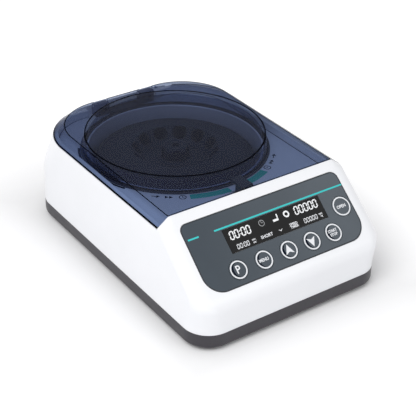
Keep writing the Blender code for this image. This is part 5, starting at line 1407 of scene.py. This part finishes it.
def build_keys(context):
    """The six dished keys, with their rings, signs and shaded sides."""
    panel = settings(context).panel
    for name, (x, s, radius) in BUTTON_PLACES.items():
        floor, skirt = KEY_PROUD - KEY_DISH, KEY_PROUD - KEY_SKIRT
        cap = turned(name + "_cap", [
            (0, floor), (radius - 2.1 * MM, floor), (radius - 1.9 * MM, KEY_PROUD - 0.9 * KEY_DISH),
            (radius - 1.7 * MM, KEY_PROUD - 0.1 * KEY_DISH), (radius - 1.6 * MM, KEY_PROUD),
            (radius - 0.3 * MM, KEY_PROUD), (radius, KEY_PROUD - 0.2 * MM), (radius, skirt),
            (KEY_STEM, skirt), (KEY_STEM, KEY_STEM_END), (0, KEY_STEM_END),
        ], "film", Vector((0, 0, 0)), 72)
        cap.matrix_world = on_panel(x, s)
        settle(cap)
        give(cap, name, "slate_film", name)
        ring = bmesh.new()
        base = KEY_PROUD + 0.02 * MM
        outer = radius - 0.6 * MM
        inner = outer - panel.ring_width
        band(ring, Vector((0, 0, 0)), inner, outer, base - 0.1 * MM, base + 0.10 * MM, steps=72)
        mesh = mesh_of(name + "_ring", outward(ring))
        mesh.transform(on_panel(x, s))
        level = floor + 0.02 * MM
        if name in KEY_SIGNS:
            text, height = KEY_SIGNS[name]
            sign = words(name + "_sign", text, height, on_panel(x, s, level), 0.05 * MM, 0.92, 0.10 * MM)
        else:
            shape = bmesh.new()
            turn = 0.0 if name == "button_up" else math.pi
            prism(shape, arrow(turn, 7.2 * MM), level - PRINT, level + PRINT)
            sign = mesh_of(name + "_sign", outward(shape))
            sign.transform(on_panel(x, s))
        mark = join(name + "_print", [mesh, sign], "key_ink")
        give(mark, name, "slate_film")
        if name != "button_open":
            shade = crescent(inner - 0.5 * MM, level - 0.05 * MM, level - 0.01 * MM)
            lay(from_shape(name + "_shade", shade, "key_shade", on_panel(x, s)), "slate_film", name)


# Deck labels

SIGN_SHAPES = {
    "clock": [[(-0.3, -0.3), (0.3, -0.3), (0.3, 1.7), (-0.3, 1.7)],
              [(0.35, -0.3), (1.5, -0.3), (1.5, 0.3), (0.35, 0.3)]],
    "forward": [[(-2.9, -1.8), (0.0, 0), (-2.9, 1.8)], [(0.3, -1.8), (3.2, 0), (0.3, 1.8)]],
    "arrow": [[(0.4, -1.8), (3.2, 0), (0.4, 1.8)], [(-3.2, -0.4), (0.2, -0.4), (0.2, 0.4), (-3.2, 0.4)]],
}


def build_deck_labels(context):
    """The two curved teal labels, the small signs and the dark band on the deck."""
    centre = spin_centre()
    low, high = DECK, DECK + DECK_PRINT
    teal = bmesh.new()

    def turn_of(x, radius):
        return -math.acos(max(-1.0, min(1.0, x / radius)))

    for first, last in ((-34 * MM, -3 * MM), (11 * MM, 35 * MM)):
        start, end = turn_of(first, 79 * MM), turn_of(last, 79 * MM)
        band(teal, centre, 76.2 * MM, 82.5 * MM, low, high, start, end, 40)
    labels = from_shape("deck_labels", outward(teal), "teal")
    give(labels, "body", "white_plastic")
    dark = bmesh.new()
    # Painted shadow: a dark band on the deck at the left, in the narrow gap between the window's opening and the
    # deck's wall.
    band(dark, centre, 75.7 * MM, 77.6 * MM, low, high, math.radians(150), math.radians(207), 40)
    for degrees, kind in ((-119.5, "clock"), (-127.0, "forward"), (-134.0, "arrow"),
                          (-59.5, "clock"), (-52.5, "forward"), (-45.5, "arrow")):
        turn = math.radians(degrees)
        spot = centre + Vector((math.cos(turn), math.sin(turn), 0)) * 79.4 * MM
        place = Matrix.Translation(spot) @ Matrix.Rotation(turn + math.pi / 2, 4, "Z")
        if kind == "clock":
            band(dark, spot, 2.2 * MM, 2.95 * MM, low, high, steps=32)
        for corners in SIGN_SHAPES[kind]:
            prism(dark, [place @ Vector((x * MM, y * MM, 0)) for x, y in corners], low, high)
    signs = from_shape("deck_signs", outward(dark), "dark_ink_and_shade")
    give(signs, "body", "white_plastic")
    build_deck_shade_line(settings(context).body)
    build_hinge_cover()


def build_deck_shade_line(body):
    """The dark line at the foot of the deck's wall."""
    form = BodyForm(body)

    def ring(height, inset):
        return outline_ring(height, form.half_width(DECK) - inset, LID_FRONT + inset, form.rear(DECK) - inset,
                            FRONT_CORNER, form.rear_corner(DECK) - inset)

    outer, inner, low, high = 6.05 * MM, 6.65 * MM, DECK + 0.01 * MM, DECK + DECK_PRINT
    rings = [ring(low, outer), ring(high, outer), ring(high, inner), ring(low, inner)]
    # Painted shadow along the foot of the deck's wall.
    shade_line = hoop("deck_groove", rings, "dark_ink_and_shade")
    bay = box("bay_gap", (-BAY, SPINE - 15 * MM, DECK - OVER), (BAY, FAR, DECK + OVER))
    lay(combine(shade_line, [bay]), "white_plastic")
    drop(bay)


def build_hinge_cover():
    """The dark plate that covers the bay's floor between the two hinges."""
    inner = float(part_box("hinge_bracket_right")[0].x) - 0.6 * MM
    low, high = SPINE - 14 * MM, SPINE - 0.5 * MM
    corner = 1.2 * MM

    def outline(inset):
        edge = inner - inset
        return rounded(((-edge, low + inset, corner), (edge, low + inset, corner), (edge, high - inset, corner),
                        (-edge, high - inset, corner)), 4)

    base, top, lip = DECK + 0.05 * MM, DECK + 0.6 * MM, DECK + 1.4 * MM
    rim_width = 0.9 * MM
    cover = plates("hinge_cover", [outline(rim_width)], base, top, "tray")
    corners = ((0, base), (0, lip), (rim_width, lip), (rim_width, base))
    rim = hoop("hinge_cover_rim", [[(*point, z) for point in outline(inset)] for inset, z in corners], "dark_ink_and_shade")
    for piece in (cover, rim):
        lay(piece, "black_plastic")


# Carried-over CAD nodes

NODE_LOOKS = {
    "black": ("latch_hook", "latch_solenoid", "switch_bezel", "switch_rocker", "power_jack", "display_module",
              "motor_shaft"),
    "hinge": ("hinge_bracket_left", "hinge_bracket_right", "hinge_arm_left", "hinge_arm_right"),
    "plain_steel": ("hinge_pin_left", "hinge_pin_right", "latch_bolt", "motor_plate", "motor_housing",
                    "bearing_lower", "bearing_upper"),
    "rubber": ("motor_damper_1", "motor_damper_2", "motor_damper_3", "motor_damper_4"),
    "board": ("main_board", "control_board"),
}


def build_fittings(context):
    """Hinges, latch, ports and inner parts keep their CAD form and get their finishes."""
    for look, nodes in NODE_LOOKS.items():
        for node in nodes:
            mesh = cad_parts[node].data
            mesh.materials.clear()
            mesh.materials.append(finish(look))


# Stage

def build_stage(context):
    studio = settings(context).studio
    az, el, roll = studio.azimuth, studio.elevation, studio.roll
    back = Vector((math.sin(az) * math.cos(el), -math.cos(az) * math.cos(el), math.sin(el)))
    level = Vector((math.cos(az), math.sin(az), 0))
    upward = back.cross(level)
    right = level * math.cos(roll) + upward * math.sin(roll)
    up = -level * math.sin(roll) + upward * math.cos(roll)
    lens = bpy.data.cameras.new("camera")
    lens.lens = studio.focal
    lens.sensor_width = 36.0
    lens.clip_start, lens.clip_end = 0.05, 20.0
    camera = bpy.data.objects.new("camera", lens)
    turn = Matrix((right, up, back)).transposed().to_4x4()
    camera.matrix_world = Matrix.Translation(Vector(studio.aim) + back * studio.distance) @ turn
    context.scene.collection.objects.link(camera)
    context.scene.camera = camera

    floor_mesh = bpy.data.meshes.new("floor")
    shape = bmesh.new()
    bmesh.ops.create_grid(shape, x_segments=1, y_segments=1, size=6.0)
    shape.to_mesh(floor_mesh)
    shape.free()
    floor = bpy.data.objects.new("floor", floor_mesh)
    context.scene.collection.objects.link(floor)
    floor_mesh.materials.append(stage_finish(studio))

    lamp("key_lamp", (-0.75, -0.35, 0.95), 0.9, studio.key)
    lamp("front_lamp", (0.45, -1.1, 0.75), 0.9, studio.fill)
    set_world(context, studio.world)


def lamp(name, place, size, power):
    light = bpy.data.lights.new(name, "AREA")
    light.shape = "DISK"
    light.size = size
    light.energy = power
    item = bpy.data.objects.new(name, light)
    bpy.context.scene.collection.objects.link(item)
    item.location = place
    item.rotation_euler = (Vector((0, 0.02, 0.03)) - Vector(place)).to_track_quat("-Z", "Y").to_euler()


def background_share(tree):
    """1 for rays from the camera, from gloss and through clear parts."""
    path = tree.nodes.new("ShaderNodeLightPath")
    total = path.outputs["Is Camera Ray"]
    for name in ("Is Glossy Ray", "Is Transmission Ray"):
        total = tree_math(tree, "MAXIMUM", total, path.outputs[name])
    return total


def stage_finish(studio):
    """A pale floor that keeps the shadow near the object and turns white away from it."""
    look = Finish("pale_floor", "stage")
    x, y, z = look.axes()
    beside = look.node("ShaderNodeMath", {"operation": "MAXIMUM"},
                       {0: abs(x) - float(TRAY_HIGH.x), 1: abs(y) - float(TRAY_HIGH.y)})
    # Painted shade: the floor's own light falls to floor_glow beside the object.
    glow = look.spread(beside, 10 * MM, 130 * MM, studio.floor_glow, studio.far_glow)
    look.set(base_color=(0.93, 0.93, 0.94), roughness=0.9, emission_color=glow)
    look.surface.inputs["Specular IOR Level"].default_value = 0.0
    look.tree.links.new(background_share(look.tree), look.surface.inputs["Emission Strength"])
    return look.material


def set_world(context, strength):
    world = bpy.data.worlds.new("studio")
    context.scene.world = world
    world.use_nodes = True
    tree = world.node_tree
    sky = tree.nodes["Background"]
    sky.inputs["Color"].default_value = (1.0, 1.0, 1.0, 1.0)
    level = tree_node(tree, "ShaderNodeMapRange", None,
                      {"Value": background_share(tree), "To Min": strength, "To Max": 1.0})
    tree.links.new(level.outputs[0], sky.inputs["Strength"])


# Operators, panel and registration

def operator(name, label, purpose, action):
    """One operator class for a piece or a group of pieces."""

    def execute(self, context):
        action(context)
        return {"FINISHED"}

    return type("CENTRIFUGE_OT_" + name, (bpy.types.Operator,), {
        "__doc__": purpose, "bl_idname": "centrifuge." + name, "bl_label": label, "execute": execute,
        "bl_options": {"REGISTER", "UNDO"}})


OPERATORS = [
    operator("stage", "Stage", "Makes the floor, the lamps and the camera", build_stage),
    operator("housing", "Housing", "Makes the white upper housing with its deck", build_housing),
    operator("tray", "Base tray", "Makes the base tray with its feet and screws", build_tray),
    operator("chamber", "Chamber", "Makes the rotor bowl and its seal", build_chamber),
    operator("rotor", "Rotor", "Makes the angle rotor and its nut", build_rotor),
    operator("panel", "Control panel", "Makes the panel film, its print and the display", build_panel),
    operator("keys", "Keys", "Makes the six round keys", build_keys),
    operator("labels", "Deck labels", "Makes the labels on the deck", build_deck_labels),
    operator("fittings", "Fittings", "Finishes hinges, latch, ports and inner parts", build_fittings),
    operator("lid", "Lid", "Makes the tinted lid", build_lid),
]


class CENTRIFUGE_PT_sidebar(bpy.types.Panel):
    """Lists the pieces and their settings"""

    bl_idname = "CENTRIFUGE_PT_sidebar"
    bl_label = "Mini Centrifuge"
    bl_space_type = "VIEW_3D"
    bl_region_type = "UI"
    bl_category = "Centrifuge"

    def draw(self, context):
        layout = self.layout
        for item in OPERATORS:
            layout.operator(item.bl_idname)
        everything = settings(context)
        for group_name in ("body", "lid", "panel", "rotor", "studio"):
            group = getattr(everything, group_name)
            column = layout.box().column()
            column.label(text=group_name.capitalize())
            for name in group.bl_rna.properties.keys():
                if name not in ("rna_type", "name"):
                    column.prop(group, name)


CLASSES = [BodySettings, LidSettings, PanelSettings, RotorSettings, StudioSettings, CentrifugeSettings,
           *OPERATORS, CENTRIFUGE_PT_sidebar]


def register():
    for item in CLASSES:
        bpy.utils.register_class(item)
    bpy.types.Scene.centrifuge = PointerProperty(type=CentrifugeSettings)


def unregister():
    del bpy.types.Scene.centrifuge
    for item in reversed(CLASSES):
        bpy.utils.unregister_class(item)


def main():
    register()
    bpy.context.scene.view_settings.view_transform = "Standard"
    for item in OPERATORS:
        getattr(bpy.ops.centrifuge, item.bl_idname.split(".")[1])()


if __name__ == "__main__":
    main()
